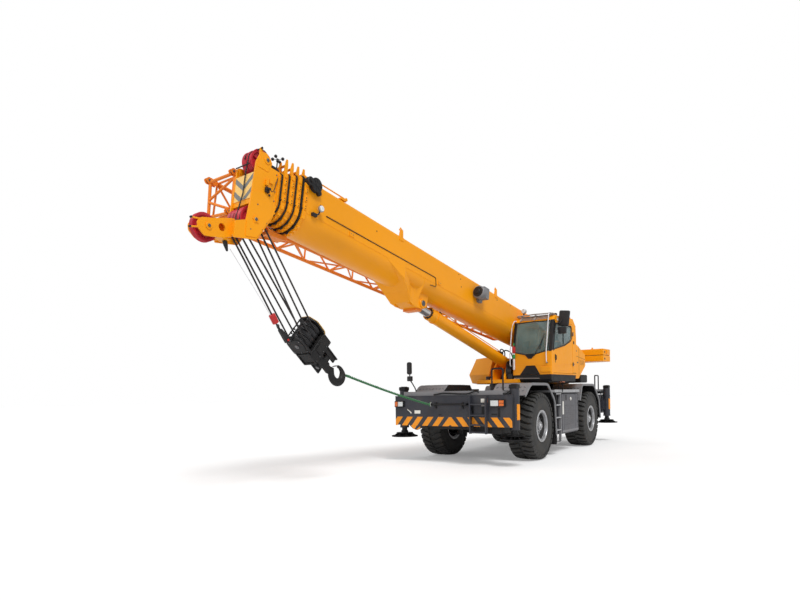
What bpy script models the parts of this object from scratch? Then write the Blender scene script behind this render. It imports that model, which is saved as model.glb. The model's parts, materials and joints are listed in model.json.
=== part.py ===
"""Rough terrain crane: two-axle carrier, slewing superstructure and five-section telescopic boom.

Metres, +Z up, +X towards the carrier's front, +Y to its left. The carrier is measured from its slewing
axis, and the whole crane then hangs from one empty that puts the middle of its box over the origin.
"""

import math

import bmesh
import bpy
from mathutils import Euler, Matrix, Vector

GAP = 0.0003           # between pieces that rest on each other
RUN = 0.005            # between pieces that move past each other

# Carrier
FRONT_AXLE_X = 1.986
WHEELBASE = 4.077
REAR_AXLE_X = FRONT_AXLE_X - WHEELBASE
HALF_WIDTH = 1.4955
AXLE_Z = 0.806         # carrier heights are counted with the axles here; the tyres then lift or lower all of it
TYRE_R = 0.806
TYRE_W = 0.62
RIM_R = 0.381
WHEEL_Y = 1.492 - TYRE_W / 2
KINGPIN_Y = 0.93
RAIL_Y = 0.46          # outer face of a chassis rail
RAIL_T = 0.15
RAIL_Z = (0.98, 1.50)
DECK_Z = 1.66
DECK_T = 0.06
FENDER_Z = 1.83
FENDER_T = 0.03
FENDER_IN_Y = 0.62
LEG_X = TYRE_R + 0.204        # foot of a front fender's rear leg, behind the axle; a steered tyre passes it
REAR_LEG_X = TYRE_R + 0.314   # top of a rear fender's front leg, ahead of the axle
RING_R = 0.72
RING_Z = (1.66, 1.74, 1.87)   # pedestal top, parting face, top of the turning ring

# Outriggers: one box at each end with a tunnel for each beam
BOX_X = {"front": 3.54, "rear": -4.05}
BOX_HALF = 0.25
BOX_END_Y = 1.29
BOX_Z = (0.90, 1.50)
TUNNEL = (0.22, 0.28)
TUNNEL_Z = 1.16
TUNNEL_OFF = 0.12
BEAM_TRAVEL = 1.65
JACK_Y = 1.43
JACK_R = 0.11
JACK_ROD_R = 0.065
JACK_Z = (0.80, 1.74)
JACK_TRAVEL = 0.80
FLOAT_R = 0.32
FLOAT_Z = 0.585

# Superstructure, measured in its own frame from the slewing axis
SLEW = math.radians(-3.15)
BED_Z = (1.86, 1.96)
BED_X = (-2.45, 1.15)
BED_Y = 0.60
CHEEK_Y = (0.43, 0.48)
CAB_X = (-0.72, 0.98)
CAB_Y = (0.395, 1.465)
CAB_Z = (2.06, 3.59)
WALL = 0.05
PIVOT = (-1.61, 3.036)        # boom foot, x and z
LUFF = math.radians(9.296)
LUFF_LOW = math.degrees(-LUFF) - 1.5       # real limits, -1.5 and 80 degrees, counted from rest
LUFF_HIGH = 80 - math.degrees(LUFF)
PIVOT_PIN_R = 0.078
WEIGHT_X = (-3.89, -3.20)
WEIGHT_Z = (2.54, 2.93)

# Boom, in its own frame: u along it, v square to it, both from the foot
BOOM_HALF = 0.37
BOOM_TOP = 0.504
BOOM_LOW = -0.40
BOOM_ROUND_V = -0.08          # where the flat sides turn into the round lower shell
BOOM_WALL = 0.012
NEST_STEP = 0.034             # each section is this much smaller all round
BASE_U = (-0.35, 10.20)
COLLAR_L = 0.115
COLLAR_STEP = 0.12
SECTION_TAIL = 0.10
TELESCOPE_TRAVEL = 7.9
CYL_TOP = (6.45, -0.55)       # upper pin of the luffing cylinder, u and v
CYL_BASE = (0.55, 2.40)       # its lower pin on the turntable, x and z
BARREL_R = 0.145
ROD_R = 0.10
SHEAVE_MAIN = (10.93, -0.52, 0.22)
SHEAVE_TOP = (10.84, 0.47, 0.21)
SHEAVE_NOSE = (11.62, -0.87, 0.21)
PACK_HALF = (0.17, 0.12, 0.045)    # half widths of the main, top and nose sheaves on their axles
HEAD_Y = 0.245
ROPE_LEAN = math.radians(33.5)     # the falls are tied back by this much in travel, and hang straight at 80 degrees
HOOK_DROP = 1.85              # from the main sheave's axis to the top of the hook block
HOOK_RATIO = ROPE_LEAN / math.radians(LUFF_HIGH) - 1   # its swing on the head, for each degree of luff


def cylinder_line(luff):
    """Length of the luffing cylinder between its pins and its angle to the boom, with the boom at an angle."""
    foot_x, foot_z = CYL_BASE[0] - PIVOT[0], CYL_BASE[1] - PIVOT[1]
    back = CYL_TOP[0] - (foot_x * math.cos(luff) + foot_z * math.sin(luff))
    down = CYL_TOP[1] - (foot_z * math.cos(luff) - foot_x * math.sin(luff))
    return math.hypot(back, down), math.atan2(down, back)


LUFF_SPAN = math.radians(LUFF_HIGH)
CYL_STROKE_RATIO = (cylinder_line(LUFF + LUFF_SPAN)[0] - cylinder_line(LUFF)[0]) / LUFF_SPAN
CYL_TURN_RATIO = (cylinder_line(LUFF + LUFF_SPAN)[1] - cylinder_line(LUFF)[1]) / LUFF_SPAN


for old in list(bpy.data.objects):
    bpy.data.objects.remove(old, do_unlink=True)


def paint(name, colour, rough=0.5, metal=0.0):
    material = bpy.data.materials.new(name)
    material.use_nodes = True
    shader = material.node_tree.nodes["Principled BSDF"]
    shader.inputs["Base Color"].default_value = (*colour, 1)
    shader.inputs["Roughness"].default_value = rough
    shader.inputs["Metallic"].default_value = metal
    return material


ORANGE = paint("crane_orange", (0.83, 0.36, 0.03), 0.4)
JIB_ORANGE = paint("jib_orange", (0.65, 0.13, 0.02), 0.45)
CHARCOAL = paint("carrier_grey", (0.055, 0.058, 0.07), 0.5)
DECK_GREY = paint("deck_grey", (0.28, 0.28, 0.30), 0.6)
RUBBER = paint("tyre", (0.03, 0.03, 0.028), 0.85)
SILVER = paint("rim_silver", (0.50, 0.50, 0.50), 0.4)
BLACK = paint("black_paint", (0.015, 0.015, 0.018), 0.5)
CHROME = paint("chrome", (0.75, 0.75, 0.76), 0.15, 1.0)
NYLON = paint("sheave_red", (0.35, 0.02, 0.05), 0.5)
SEAT = paint("seat", (0.02, 0.02, 0.02), 0.8)
WEBBING = paint("strap_green", (0.02, 0.12, 0.05), 0.8)


def empty(name, parent, place=(0, 0, 0), turn=(0, 0, 0)):
    """A frame for the pieces under it, on the axis they turn about or slide along."""
    frame = bpy.data.objects.new(name, None)
    bpy.context.collection.objects.link(frame)
    frame.parent = parent
    frame.location = place
    frame.rotation_euler = Euler(turn)
    return frame


def finish(shape):
    bmesh.ops.recalc_face_normals(shape, faces=shape.faces[:])
    return shape


def box(low, high):
    shape = bmesh.new()
    bmesh.ops.create_cube(shape, size=1)
    size = [b - a for a, b in zip(low, high)]
    middle = [(a + b) / 2 for a, b in zip(low, high)]
    bmesh.ops.transform(shape, matrix=Matrix.Diagonal((*size, 1)), verts=shape.verts)
    bmesh.ops.translate(shape, vec=middle, verts=shape.verts)
    return shape


def on_axis(axis, a, b, along):
    """A point from two coordinates square to the axis, in X, Y, Z order, and one along it."""
    return {"X": (along, a, b), "Y": (a, along, b), "Z": (a, b, along)}[axis]


def prism(outline, low, high, axis="Y"):
    shape = bmesh.new()
    ends = [[shape.verts.new(on_axis(axis, a, b, h)) for a, b in outline] for h in (low, high)]
    for end in ends:
        shape.faces.new(end)
    for i in range(len(outline)):
        j = (i + 1) % len(outline)
        shape.faces.new((ends[0][i], ends[0][j], ends[1][j], ends[1][i]))
    return finish(shape)


def pipe(outer, inner, low, high, axis="X"):
    """A straight tube between two outlines that have the same number of points."""
    shape = bmesh.new()
    rings = [[shape.verts.new(on_axis(axis, a, b, h)) for a, b in line]
             for line, h in ((outer, low), (outer, high), (inner, high), (inner, low))]
    for k in range(4):
        near, far = rings[k], rings[(k + 1) % 4]
        for i in range(len(outer)):
            j = (i + 1) % len(outer)
            shape.faces.new((near[i], near[j], far[j], far[i]))
    return finish(shape)


def turned(profile, steps, axis="Z", place=(0, 0, 0), ring=False):
    """A solid turned about an axis from (radius, height) points; a ring's profile closes on itself."""
    shape = bmesh.new()
    lines = []
    for radius, height in profile:
        if radius < 1e-6:
            lines.append([shape.verts.new(on_axis(axis, 0, 0, height))])
            continue
        turns = [math.tau * k / steps for k in range(steps)]
        lines.append([shape.verts.new(on_axis(axis, radius * math.sin(t), radius * math.cos(t), height))
                      for t in turns])
    last = len(lines) if ring else len(lines) - 1
    for k in range(last):
        near, far = lines[k], lines[(k + 1) % len(lines)]
        for i in range(steps):
            j = (i + 1) % steps
            corners = []
            for vert in (near[i % len(near)], near[j % len(near)], far[j % len(far)], far[i % len(far)]):
                if vert not in corners:
                    corners.append(vert)
            if len(corners) > 2:
                shape.faces.new(corners)
    bmesh.ops.translate(shape, vec=place, verts=shape.verts)
    return finish(shape)


def drum(radius, low, high, place=(0, 0, 0), axis="Z", steps=24):
    return turned([(0, high), (radius, high), (radius, low), (0, low)], steps, axis, place)


def hollow_drum(outer, inner, low, high, place=(0, 0, 0), axis="Z", steps=24):
    profile = [(outer, high), (outer, low), (inner, low), (inner, high)]
    return turned(profile, steps, axis, place, ring=True)


def bar(start, end, width, sides=4):
    """A straight bar of a regular section, width across its corners."""
    start, end = Vector(start), Vector(end)
    turns = [math.tau * (k + 0.5) / sides for k in range(sides)]
    outline = [(width / 2 * math.cos(t), width / 2 * math.sin(t)) for t in turns]
    shape = prism(outline, 0, (end - start).length, "Z")
    turn = (end - start).to_track_quat("Z", "Y").to_matrix().to_4x4()
    bmesh.ops.transform(shape, matrix=Matrix.Translation(start) @ turn, verts=shape.verts)
    return shape


def mirror_y(shape):
    copy = shape.copy()
    bmesh.ops.scale(copy, vec=(1, -1, 1), verts=copy.verts)
    return finish(copy)


def both_sides(*shapes):
    return [*shapes, *(mirror_y(shape) for shape in shapes)]


def bake(name, shapes):
    """One mesh that holds all these shapes."""
    mesh = bpy.data.meshes.new(name)
    whole = bmesh.new()
    for shape in shapes:
        part = bpy.data.meshes.new("part")
        shape.to_mesh(part)
        whole.from_mesh(part)
        bpy.data.meshes.remove(part)
    whole.to_mesh(mesh)
    whole.free()
    return mesh


def boolean(target, name, shapes, operation):
    tool = bpy.data.objects.new(name, bake(name, shapes))
    bpy.context.collection.objects.link(tool)
    tool.parent = target
    tool.hide_render = True
    tool.display_type = "WIRE"
    cut = target.modifiers.new(name, "BOOLEAN")
    cut.operation = operation
    cut.solver = "EXACT"
    cut.use_self = len(shapes) > 1
    cut.object = tool


def solid(name, material, parent, shapes, cuts=()):
    """A node: its shapes joined into one body, less its cuts."""
    node = bpy.data.objects.new(name, bake(name, shapes[:1]))
    bpy.context.collection.objects.link(node)
    node.parent = parent
    node.data.materials.append(material)
    if len(shapes) > 1:
        boolean(node, name + "_joined", shapes[1:], "UNION")
    if cuts:
        boolean(node, name + "_cut", cuts, "DIFFERENCE")
    return node


crane = empty("crane", None)


# Chassis, decks and what is fixed to the carrier

def make_chassis():
    rail = box((BOX_X["rear"] + BOX_HALF + GAP, RAIL_Y - RAIL_T, RAIL_Z[0]),
               (BOX_X["front"] - BOX_HALF - GAP, RAIL_Y, RAIL_Z[1]))
    cross = [box((x - 0.08, -RAIL_Y + 0.02, RAIL_Z[0] + 0.1), (x + 0.08, RAIL_Y - 0.02, RAIL_Z[1] - 0.05))
             for x in (-3.70, -1.30, 1.30, 2.90)]
    bridge = box((-0.95, -RAIL_Y + 0.01, RAIL_Z[0] + 0.02), (0.95, RAIL_Y - 0.01, RING_Z[0] - 0.05))
    pedestal = drum(RING_R + 0.06, RING_Z[0] - 0.07, RING_Z[0], steps=36)
    ring = drum(RING_R, RING_Z[0] - 0.02, RING_Z[1], steps=36)
    solid("chassis", CHARCOAL, crane, [*both_sides(rail), *cross, bridge, pedestal, ring])


def fender_outline(axle_x, front, back):
    """Bent plate over a wheel: (x from the axle, z) of its outer face from front to back."""
    outer = [*front, *back]
    inner = []
    for x, z in outer:
        away = Vector((x, z - AXLE_Z)).normalized() * FENDER_T
        inner.append((x - away.x, z - away.y))
    return [(axle_x + x, z) for x, z in outer + inner[::-1]]


def make_decks():
    edge = HALF_WIDTH
    outlines = {
        "front": fender_outline(FRONT_AXLE_X, [(1.10, 1.55), (0.74, FENDER_Z)],
                                [(-0.39, FENDER_Z), (0.115 - LEG_X, 1.41), (-LEG_X, 0.52)]),
        "rear": fender_outline(REAR_AXLE_X, [(REAR_LEG_X, 1.37), (REAR_LEG_X - 0.21, FENDER_Z)],
                               [(-0.30, FENDER_Z), (0.15 - LEG_X, 1.38), (-LEG_X, 0.79)]),
    }
    floor = (DECK_Z - DECK_T, DECK_Z)
    plates = {
        "front": [box((1.00, -FENDER_IN_Y - 0.03, floor[0]), (BOX_X["front"] + 0.259, FENDER_IN_Y + 0.03, floor[1])),
                  box((3.02, -1.27, floor[0] + 0.002), (BOX_X["front"] + 0.258, 1.27, floor[1] - 0.002)),
                  *both_sides(box((REAR_AXLE_X + REAR_LEG_X - 0.029, 0.82, floor[0] + 0.001),
                                  (1.45, edge - 0.0255, floor[1] - 0.001)))],
        "rear": [box((BOX_X["rear"] - 0.25, -FENDER_IN_Y - 0.03, floor[0]), (-1.16, FENDER_IN_Y + 0.03, floor[1])),
                 box((BOX_X["rear"] - 0.249, -1.27, floor[0] + 0.002), (-2.98, 1.27, floor[1] - 0.002))],
    }
    walls = {
        "front": [(FRONT_AXLE_X + 1.07, DECK_Z - 0.05), (FRONT_AXLE_X + 0.74, FENDER_Z - 0.002),
                  (FRONT_AXLE_X - 0.39, FENDER_Z - 0.002), (FRONT_AXLE_X - 0.60, DECK_Z - 0.05)],
        "rear": [(REAR_AXLE_X + 0.94, DECK_Z - 0.05), (REAR_AXLE_X + 0.91, FENDER_Z - 0.002),
                 (REAR_AXLE_X - 0.30, FENDER_Z - 0.002), (REAR_AXLE_X - 0.42, DECK_Z - 0.05)],
    }
    rails = {
        "front": [bar((3.70, 0.98, DECK_Z - 0.02), (3.70, 0.98, 2.15), 0.04, 6),
                  bar((3.70, 1.24, DECK_Z - 0.02), (3.70, 1.24, 2.15), 0.04, 6),
                  bar((3.70, 0.965, 2.14), (3.70, 1.255, 2.14), 0.04, 6)],
        "rear": [bar((-3.40, 1.24, DECK_Z - 0.02), (-3.40, 1.24, 2.12), 0.04, 6),
                 bar((-3.80, 1.24, DECK_Z - 0.02), (-3.80, 1.24, 2.12), 0.04, 6),
                 bar((-3.385, 1.24, 2.11), (-3.815, 1.24, 2.11), 0.04, 6)],
    }
    for end in ("front", "rear"):
        arch = prism(outlines[end], FENDER_IN_Y, edge)
        wall = prism(walls[end], FENDER_IN_Y + 0.001, FENDER_IN_Y + 0.029)
        solid(end + "_deck", DECK_GREY, crane, [*plates[end], *both_sides(arch, wall), *rails[end]])


def make_outrigger_boxes():
    for end, x in BOX_X.items():
        body = box((x - BOX_HALF, -BOX_END_Y, BOX_Z[0]), (x + BOX_HALF, BOX_END_Y, BOX_Z[1]))
        tunnels = []
        for side in (-1, 1):
            middle = x + side * TUNNEL_OFF
            tunnels.append(box((middle - TUNNEL[0] / 2, -2, TUNNEL_Z - TUNNEL[1] / 2),
                               (middle + TUNNEL[0] / 2, 2, TUNNEL_Z + TUNNEL[1] / 2)))
        solid(end + "_outrigger_box", CHARCOAL, crane, [body], tunnels)


def make_front_panel():
    face_x = BOX_X["front"] + 0.29
    plate = box((face_x - 0.03, -HALF_WIDTH, 0.869), (face_x, HALF_WIDTH, 1.57))
    tie_x = face_x + 0.10
    ends = (-0.301 * HALF_WIDTH, 0.294 * HALF_WIDTH)
    tie = [bar((tie_x, ends[0] - 0.02, 1.40), (tie_x, ends[1] + 0.02, 1.40), 0.05, 8)]
    for y in ends:
        tie.append(bar((face_x - 0.01, y, 1.40), (tie_x + 0.005, y, 1.40), 0.049, 8))
    lamps = [box((face_x - 0.01, y - 0.13, 1.37), (face_x + 0.06, y + 0.13, 1.49))
             for y in (0.1755 - HALF_WIDTH, HALF_WIDTH - 0.3355)]
    mast_y = 0.1855 - HALF_WIDTH
    mast = [bar((face_x - 0.015, mast_y, 1.54), (face_x - 0.015, mast_y, 2.36), 0.04, 6),
            box((face_x - 0.045, mast_y - 0.06, 1.88), (face_x + 0.015, mast_y + 0.10, 2.37))]
    solid("front_panel", CHARCOAL, crane, [plate, *tie, *lamps, *mast])


def make_ladders():
    near, out = FRONT_AXLE_X - LEG_X - 0.046, HALF_WIDTH - 0.0355
    stile = [box((x, out - 0.08, 0.28), (x + 0.03, out, DECK_Z - DECK_T - GAP)) for x in (near - 0.37, near)]
    steps = [box((near - 0.36, out - 0.085, z), (near + 0.02, out - 0.005, z + 0.03)) for z in (0.30, 0.62, 0.94, 1.26)]
    solid("side_ladder", DECK_GREY, crane, [*stile, *steps])
    face_x = BOX_X["front"] + 0.29 + GAP
    inner, outer = 0.348 * HALF_WIDTH, 0.588 * HALF_WIDTH      # between the tie bar and the lamp
    stile = [box((face_x, y, 0.62), (face_x + 0.10, y + 0.03, 1.55)) for y in (inner, outer)]
    steps = [box((face_x + 0.01, inner + 0.01, z), (face_x + 0.09, outer + 0.02, z + 0.03))
             for z in (0.64, 0.93, 1.22, 1.50)]
    solid("front_ladder", CHARCOAL, crane, [*stile, *steps])


def make_tanks():
    for side, name in ((1, "fuel_tank"), (-1, "battery_box")):
        inner, outer = RAIL_Y + GAP, HALF_WIDTH - 0.0455
        shape = prism([(inner, 0.62), (inner + 0.25, 0.50), (outer - 0.04, 0.50), (outer, 0.54),
                       (outer, 1.54), (outer - 0.04, 1.58), (inner + 0.36, 1.58), (inner, 1.36)],
                      REAR_AXLE_X + REAR_LEG_X + 0.041, FRONT_AXLE_X - LEG_X - 0.526, "X")
        solid(name, CHARCOAL, crane, [shape if side > 0 else mirror_y(shape)])


def make_engine():
    solid("engine", BLACK, crane, [box((-3.50, -0.30, 1.00), (-2.45, 0.30, 1.58))])
    hood = prism([(-3.70, DECK_Z + GAP), (-3.70, 1.78), (-3.62, 1.84), (-1.32, 1.84), (-1.26, 1.80),
                  (-1.26, DECK_Z + GAP)], -0.58, 0.58)
    solid("engine_hood", CHARCOAL, crane, [hood])


def make_axles():
    for end, x in (("front", FRONT_AXLE_X), ("rear", REAR_AXLE_X)):
        beam = drum(0.13, -0.78, 0.78, axis="Y", steps=16)
        bowl = turned([(0, 0.20), (0.16, 0.20), (0.165, 0.0), (0.16, -0.20), (0, -0.20)], 16, "Y")
        arms = []
        for level in (-1, 1):
            low, high = sorted((level * 0.21, level * 0.26))
            arms.append(box((-0.07, 0.70, low), (0.07, KINGPIN_Y + 0.06, high)))
        back = box((-0.075, 0.69, -0.262), (0.075, 0.775, 0.262))
        seat = box((-0.13, RAIL_Y - RAIL_T + 0.02, 0.05), (0.13, RAIL_Y - 0.02, RAIL_Z[0] - GAP - AXLE_Z))
        axle = solid(end + "_axle", CHARCOAL, crane, [beam, bowl, *both_sides(back, seat, *arms)])
        axle.location = (x, 0, AXLE_Z)


# Wheels, each on a knuckle that steers

WHEEL_STEPS = 24
LUGS = 15                     # on each half of the tread, the right half's half a pitch on
LUG_DEPTH = 0.042
TYRE_SIDE = [(0.3375, 0.255), (0.395, 0.262), (0.50, 0.305), (TYRE_R - 0.090, 0.302)]
TYRE_TREAD = [(TYRE_R - 0.018, 0.27), (TYRE_R, 0.10)]      # on a lug; between lugs these lie deeper
RIM_PROFILE = [(0, 0.19), (0.12, 0.19), (0.14, 0.08), (0.205, 0.08), (0.22, 0.02), (0.29, 0.02),
               (0.322, 0.262), (RIM_R, 0.29), (RIM_R, 0.266), (0.335, 0.264),
               (0.335, -0.264), (RIM_R, -0.266), (RIM_R, -0.29), (0.32, -0.262), (0.315, -0.03), (0, -0.03)]
CORNERS = [("front_left", FRONT_AXLE_X, 1), ("front_right", FRONT_AXLE_X, -1),
           ("rear_left", REAR_AXLE_X, 1), ("rear_right", REAR_AXLE_X, -1)]


def tyre_shape():
    """Skin through one cross-section after another: lugs on the left half first, then on the right."""
    shape = bmesh.new()
    lines = []
    for k in range(LUGS):
        for share, left in ((0.0, True), (0.46, True), (0.52, False), (0.94, False)):
            turn = math.tau * (k + share) / LUGS
            drops = [0 if left else LUG_DEPTH, LUG_DEPTH if left else 0]
            half = [[*TYRE_SIDE, *[(r - drop, y) for r, y in TYRE_TREAD]] for drop in drops]
            section = [*half[0], *[(r, -y) for r, y in half[1][::-1]]]
            lines.append([shape.verts.new((r * math.sin(turn), y, r * math.cos(turn))) for r, y in section])
    for k in range(len(lines)):
        near, far = lines[k - 1], lines[k]
        for i in range(len(near)):
            shape.faces.new((near[i - 1], near[i], far[i], far[i - 1]))
    return finish(shape)


def make_wheels():
    for name, x, side in CORNERS:
        facing = (0, 0, 0 if side > 0 else math.pi)
        steer = empty("steer_" + name, crane, (x, side * KINGPIN_Y, AXLE_Z), facing)
        hub = turned([(0, -0.06), (0.12, -0.06), (0.12, 0.0), (0.19, 0.02), (0.19, 0.19), (0, 0.19)], 12, "Y")
        solid("knuckle_" + name, CHARCOAL, steer, [hub])
        wheel = empty("wheel_" + name, steer, (0, WHEEL_Y - KINGPIN_Y, 0))
        solid("tyre_" + name, RUBBER, wheel, [tyre_shape()])
        solid("rim_" + name, SILVER, wheel, [turned(RIM_PROFILE, WHEEL_STEPS, "Y")])


def make_outriggers():
    half_x = TUNNEL[0] / 2 - RUN
    half_z = TUNNEL[1] / 2 - RUN
    for end, x in BOX_X.items():
        for side, hand in ((1, "left"), (-1, "right")):
            facing = (0, 0, 0 if side > 0 else math.pi)
            beam_frame = empty(f"beam_{end}_{hand}", crane, (x, 0, TUNNEL_Z), facing)
            beam = box((TUNNEL_OFF - half_x, -1.20, -half_z), (TUNNEL_OFF + half_x, JACK_Y - 0.06, half_z))
            head = box((-0.09, BOX_END_Y + 0.02, -0.20), (TUNNEL_OFF + half_x + 0.001, JACK_Y, 0.22))
            tube = drum(JACK_R, JACK_Z[0] - TUNNEL_Z, JACK_Z[1] - TUNNEL_Z, (0, JACK_Y, 0), steps=16)
            bore = drum(JACK_ROD_R + RUN, -1, JACK_Z[1] - TUNNEL_Z - 0.05, (0, JACK_Y, 0), steps=12)
            solid(f"outrigger_beam_{end}_{hand}", CHARCOAL, beam_frame, [beam, head, tube], [bore])
            jack_frame = empty(f"jack_{end}_{hand}", beam_frame, (0, JACK_Y, -TUNNEL_Z))
            foot = turned([(0, 1.60), (JACK_ROD_R, 1.60), (JACK_ROD_R, 0.72), (0.13, FLOAT_Z + 0.065),
                           (FLOAT_R, FLOAT_Z + 0.05), (FLOAT_R, FLOAT_Z), (0, FLOAT_Z)], 16)
            solid(f"jack_float_{end}_{hand}", DECK_GREY, jack_frame, [foot])


# Superstructure

def make_turntable(top):
    ring = hollow_drum(RING_R, 0.60, RING_Z[1] + GAP, RING_Z[2], steps=36)
    bed = box((BED_X[0], -BED_Y, BED_Z[0]), (BED_X[1], BED_Y, BED_Z[1]))
    cheek = prism([(-0.80, 1.95), (-0.80, 2.30), (-1.25, 3.18), (-1.42, 3.27), (-1.80, 3.27), (-2.05, 3.10),
                   (-3.19, 2.92), (-3.19, 2.30), (-2.44, 1.95)], *CHEEK_Y)
    ear = prism([(0.15, 1.95), (0.15, 2.30), (0.42, 2.52), (0.68, 2.52), (0.95, 2.25), (1.12, 1.95)], 0.16, 0.21)
    boss = drum(0.10, 0.20, 0.25, (CYL_BASE[0], 0, CYL_BASE[1]), "Y")
    bores = drum(PIVOT_PIN_R + 0.0025, -1, 1, (PIVOT[0], 0, PIVOT[1]), "Y")
    solid("turntable", ORANGE, top, [bed, ring, *both_sides(cheek, ear, boss)], [bores])
    slab = box((WEIGHT_X[0], -1.41, WEIGHT_Z[0]), (WEIGHT_X[1] - GAP, 1.41, WEIGHT_Z[1]))
    core = box((WEIGHT_X[0] + 0.10, -0.42, 2.20), (WEIGHT_X[1] - 0.001, 0.42, WEIGHT_Z[0] + 0.02))
    solid("counterweight", ORANGE, top, [slab, core])


def make_hoods(top):
    left = prism([(-1.60, 2.34), (-1.59, 2.66), (-1.02, 2.89), (-0.80, 2.95), (-0.80, 1.97), (-1.05, 1.97)],
                 CHEEK_Y[1] + 0.02, 1.41)
    behind = box((-2.40, CHEEK_Y[1] + 0.021, 1.97), (-1.05, 0.86, 2.55))
    solid("left_housing", ORANGE, top, [left, behind])
    right = prism([(-2.40, 1.97), (-2.40, 2.62), (0.40, 2.62), (0.60, 2.15), (0.35, 1.97)], -1.35, -CHEEK_Y[1] - 0.02)
    solid("right_housing", ORANGE, top, [right])


def cab_outline(inset):
    """Side view of the cab, (x, z), drawn in by a wall's thickness."""
    return [(CAB_X[0] + inset, CAB_Z[0] - 0.095 + inset), (CAB_X[1] - inset, CAB_Z[0] - 0.095 + inset),
            (CAB_X[1] + 0.02 - inset, 2.62), (0.80 - inset, 3.48), (0.70 - inset * 0.7, CAB_Z[1] - inset),
            (CAB_X[0] + 0.10 + inset * 0.7, CAB_Z[1] - inset), (CAB_X[0] - 0.02 + inset, 3.42)]


DOOR_X = (-0.45, 0.87)
DOOR_Z = (2.10, 3.42)


def door_outline(play):
    """Side view of the door, (x, z), made larger all round by the play."""
    return [(DOOR_X[0] - play, DOOR_Z[0] - play), (DOOR_X[1] + play, DOOR_Z[0] - play),
            (DOOR_X[1] + play, 2.66), (0.74 + play, DOOR_Z[1] + play), (DOOR_X[0] - play, DOOR_Z[1] + play)]


def make_cab(top):
    shell = prism(cab_outline(0), *CAB_Y)
    hollow = prism(cab_outline(WALL), CAB_Y[0] + WALL, CAB_Y[1] - WALL)
    doorway = prism(door_outline(0.008), CAB_Y[1] - WALL - 0.02, CAB_Y[1] + 0.02)
    screen = prism([(0.40, 2.62), (1.45, 2.62), (1.45, 3.46), (0.40, 3.46)],
                   CAB_Y[0] + 0.06, CAB_Y[1] - 0.06)
    inner_side = prism([(-0.55, 2.60), (0.85, 2.60), (0.70, 3.42), (-0.55, 3.42)], 0.30, 0.46)
    rear = box((CAB_X[0] - 0.1, CAB_Y[0] + 0.12, 2.75), (CAB_X[0] + 0.1, CAB_Y[1] - 0.12, 3.38))
    solid("cab_shell", ORANGE, top, [shell], [hollow, doorway, screen, inner_side, rear])
    seat = [box((-0.35, 0.70, 2.0153), (0.10, 1.15, 2.30)), box((-0.38, 0.67, 2.28), (0.15, 1.18, 2.42)),
            prism([(-0.50, 2.40), (-0.36, 2.40), (-0.42, 3.20), (-0.54, 3.20)], 0.70, 1.15),
            box((-0.20, 0.48, 2.0153), (0.30, 0.62, 2.55)), box((0.62, 0.62, 2.0153), (0.80, 1.22, 2.60)),
            box((-0.37, 0.5, 2.0153), (0.75, 1.2, 2.06))]
    solid("cab_seat", SEAT, top, seat)
    hinge = empty("cab_door_hinge", top, (DOOR_X[0], CAB_Y[1] + 0.01, 0))
    panel = prism(door_outline(0), CAB_Y[1] - WALL, CAB_Y[1])
    window = prism([(-0.38, 2.76), (0.75, 2.72), (0.66, 3.36), (-0.38, 3.36)], CAB_Y[1] - 0.2, CAB_Y[1] + 0.2)
    for shape in (panel, window):
        bmesh.ops.translate(shape, vec=-hinge.location, verts=shape.verts)
    solid("cab_door", ORANGE, hinge, [panel], [window])


def make_winches(top):
    for name, x, z in (("main_winch", -2.56, 2.72), ("auxiliary_winch", -2.86, 2.21)):
        frame = empty(name + "_axis", top, (x, 0, z))
        reach = CHEEK_Y[0] - RUN
        profile = [(0, reach), (0.08, reach), (0.08, 0.34), (0.26, 0.34), (0.26, 0.31), (0.20, 0.31)]
        solid(name, CHARCOAL, frame, [turned([*profile, *[(r, -y) for r, y in profile[::-1]]], 16, "Y")])


# Boom

def boom_section(inset):
    """Section square to the boom, (y, v): flat top and sides, round lower shell."""
    half = BOOM_HALF - inset
    depth = BOOM_ROUND_V - BOOM_LOW - inset
    top = BOOM_TOP - inset
    points = [(half, BOOM_ROUND_V), (half, top - 0.07), (half - 0.07, top), (0.07 - half, top),
              (-half, top - 0.07), (-half, BOOM_ROUND_V)]
    for k in range(1, 8):
        turn = math.pi * k / 8
        points.append((-half * math.cos(turn), BOOM_ROUND_V - depth * math.sin(turn)))
    return points


def section_pipe(inset, low, high):
    return pipe(boom_section(inset), boom_section(inset + BOOM_WALL), low, high)


def collar_pipe(inset, low, high, fin=0.0):
    shape = [pipe(boom_section(inset - 0.028), boom_section(inset + BOOM_WALL * 0.9), low, high)]
    if fin:
        shape.append(box((low + 0.01, -0.22, BOOM_TOP - inset), (high - 0.01, 0.22, BOOM_TOP + fin)))
    return shape


def make_base_section(boom):
    front = BASE_U[1]
    tube = section_pipe(0, *BASE_U)
    pin = [drum(PIVOT_PIN_R, BOOM_HALF - 0.006, 0.50, (0, 0, 0), "Y")]
    pin_u, pin_v = CYL_TOP
    ear = prism([(pin_u - 0.40, -0.350), (pin_u - 0.23, pin_v - 0.10), (pin_u + 0.17, pin_v - 0.12),
                 (7.98, -0.45), (8.16, -0.350)], 0.165, 0.205)
    boss = drum(0.09, 0.20, 0.23, (CYL_TOP[0], 0, CYL_TOP[1]), "Y")
    lugs = [box((u - 0.06, -0.03, BOOM_TOP - 0.005), (u + 0.06, 0.03, 0.60)) for u in (3.55, 7.54)]
    reel = drum(0.12, BOOM_HALF - 0.006, BOOM_HALF + 0.09, (9.94, 0, 0.41), "Y", 14)
    shapes = [tube, *collar_pipe(0, front - COLLAR_L, front + 0.001, 0.14), *both_sides(*pin, ear, boss), *lugs, reel]
    solid("boom_base_section", ORANGE, boom, shapes)


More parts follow.
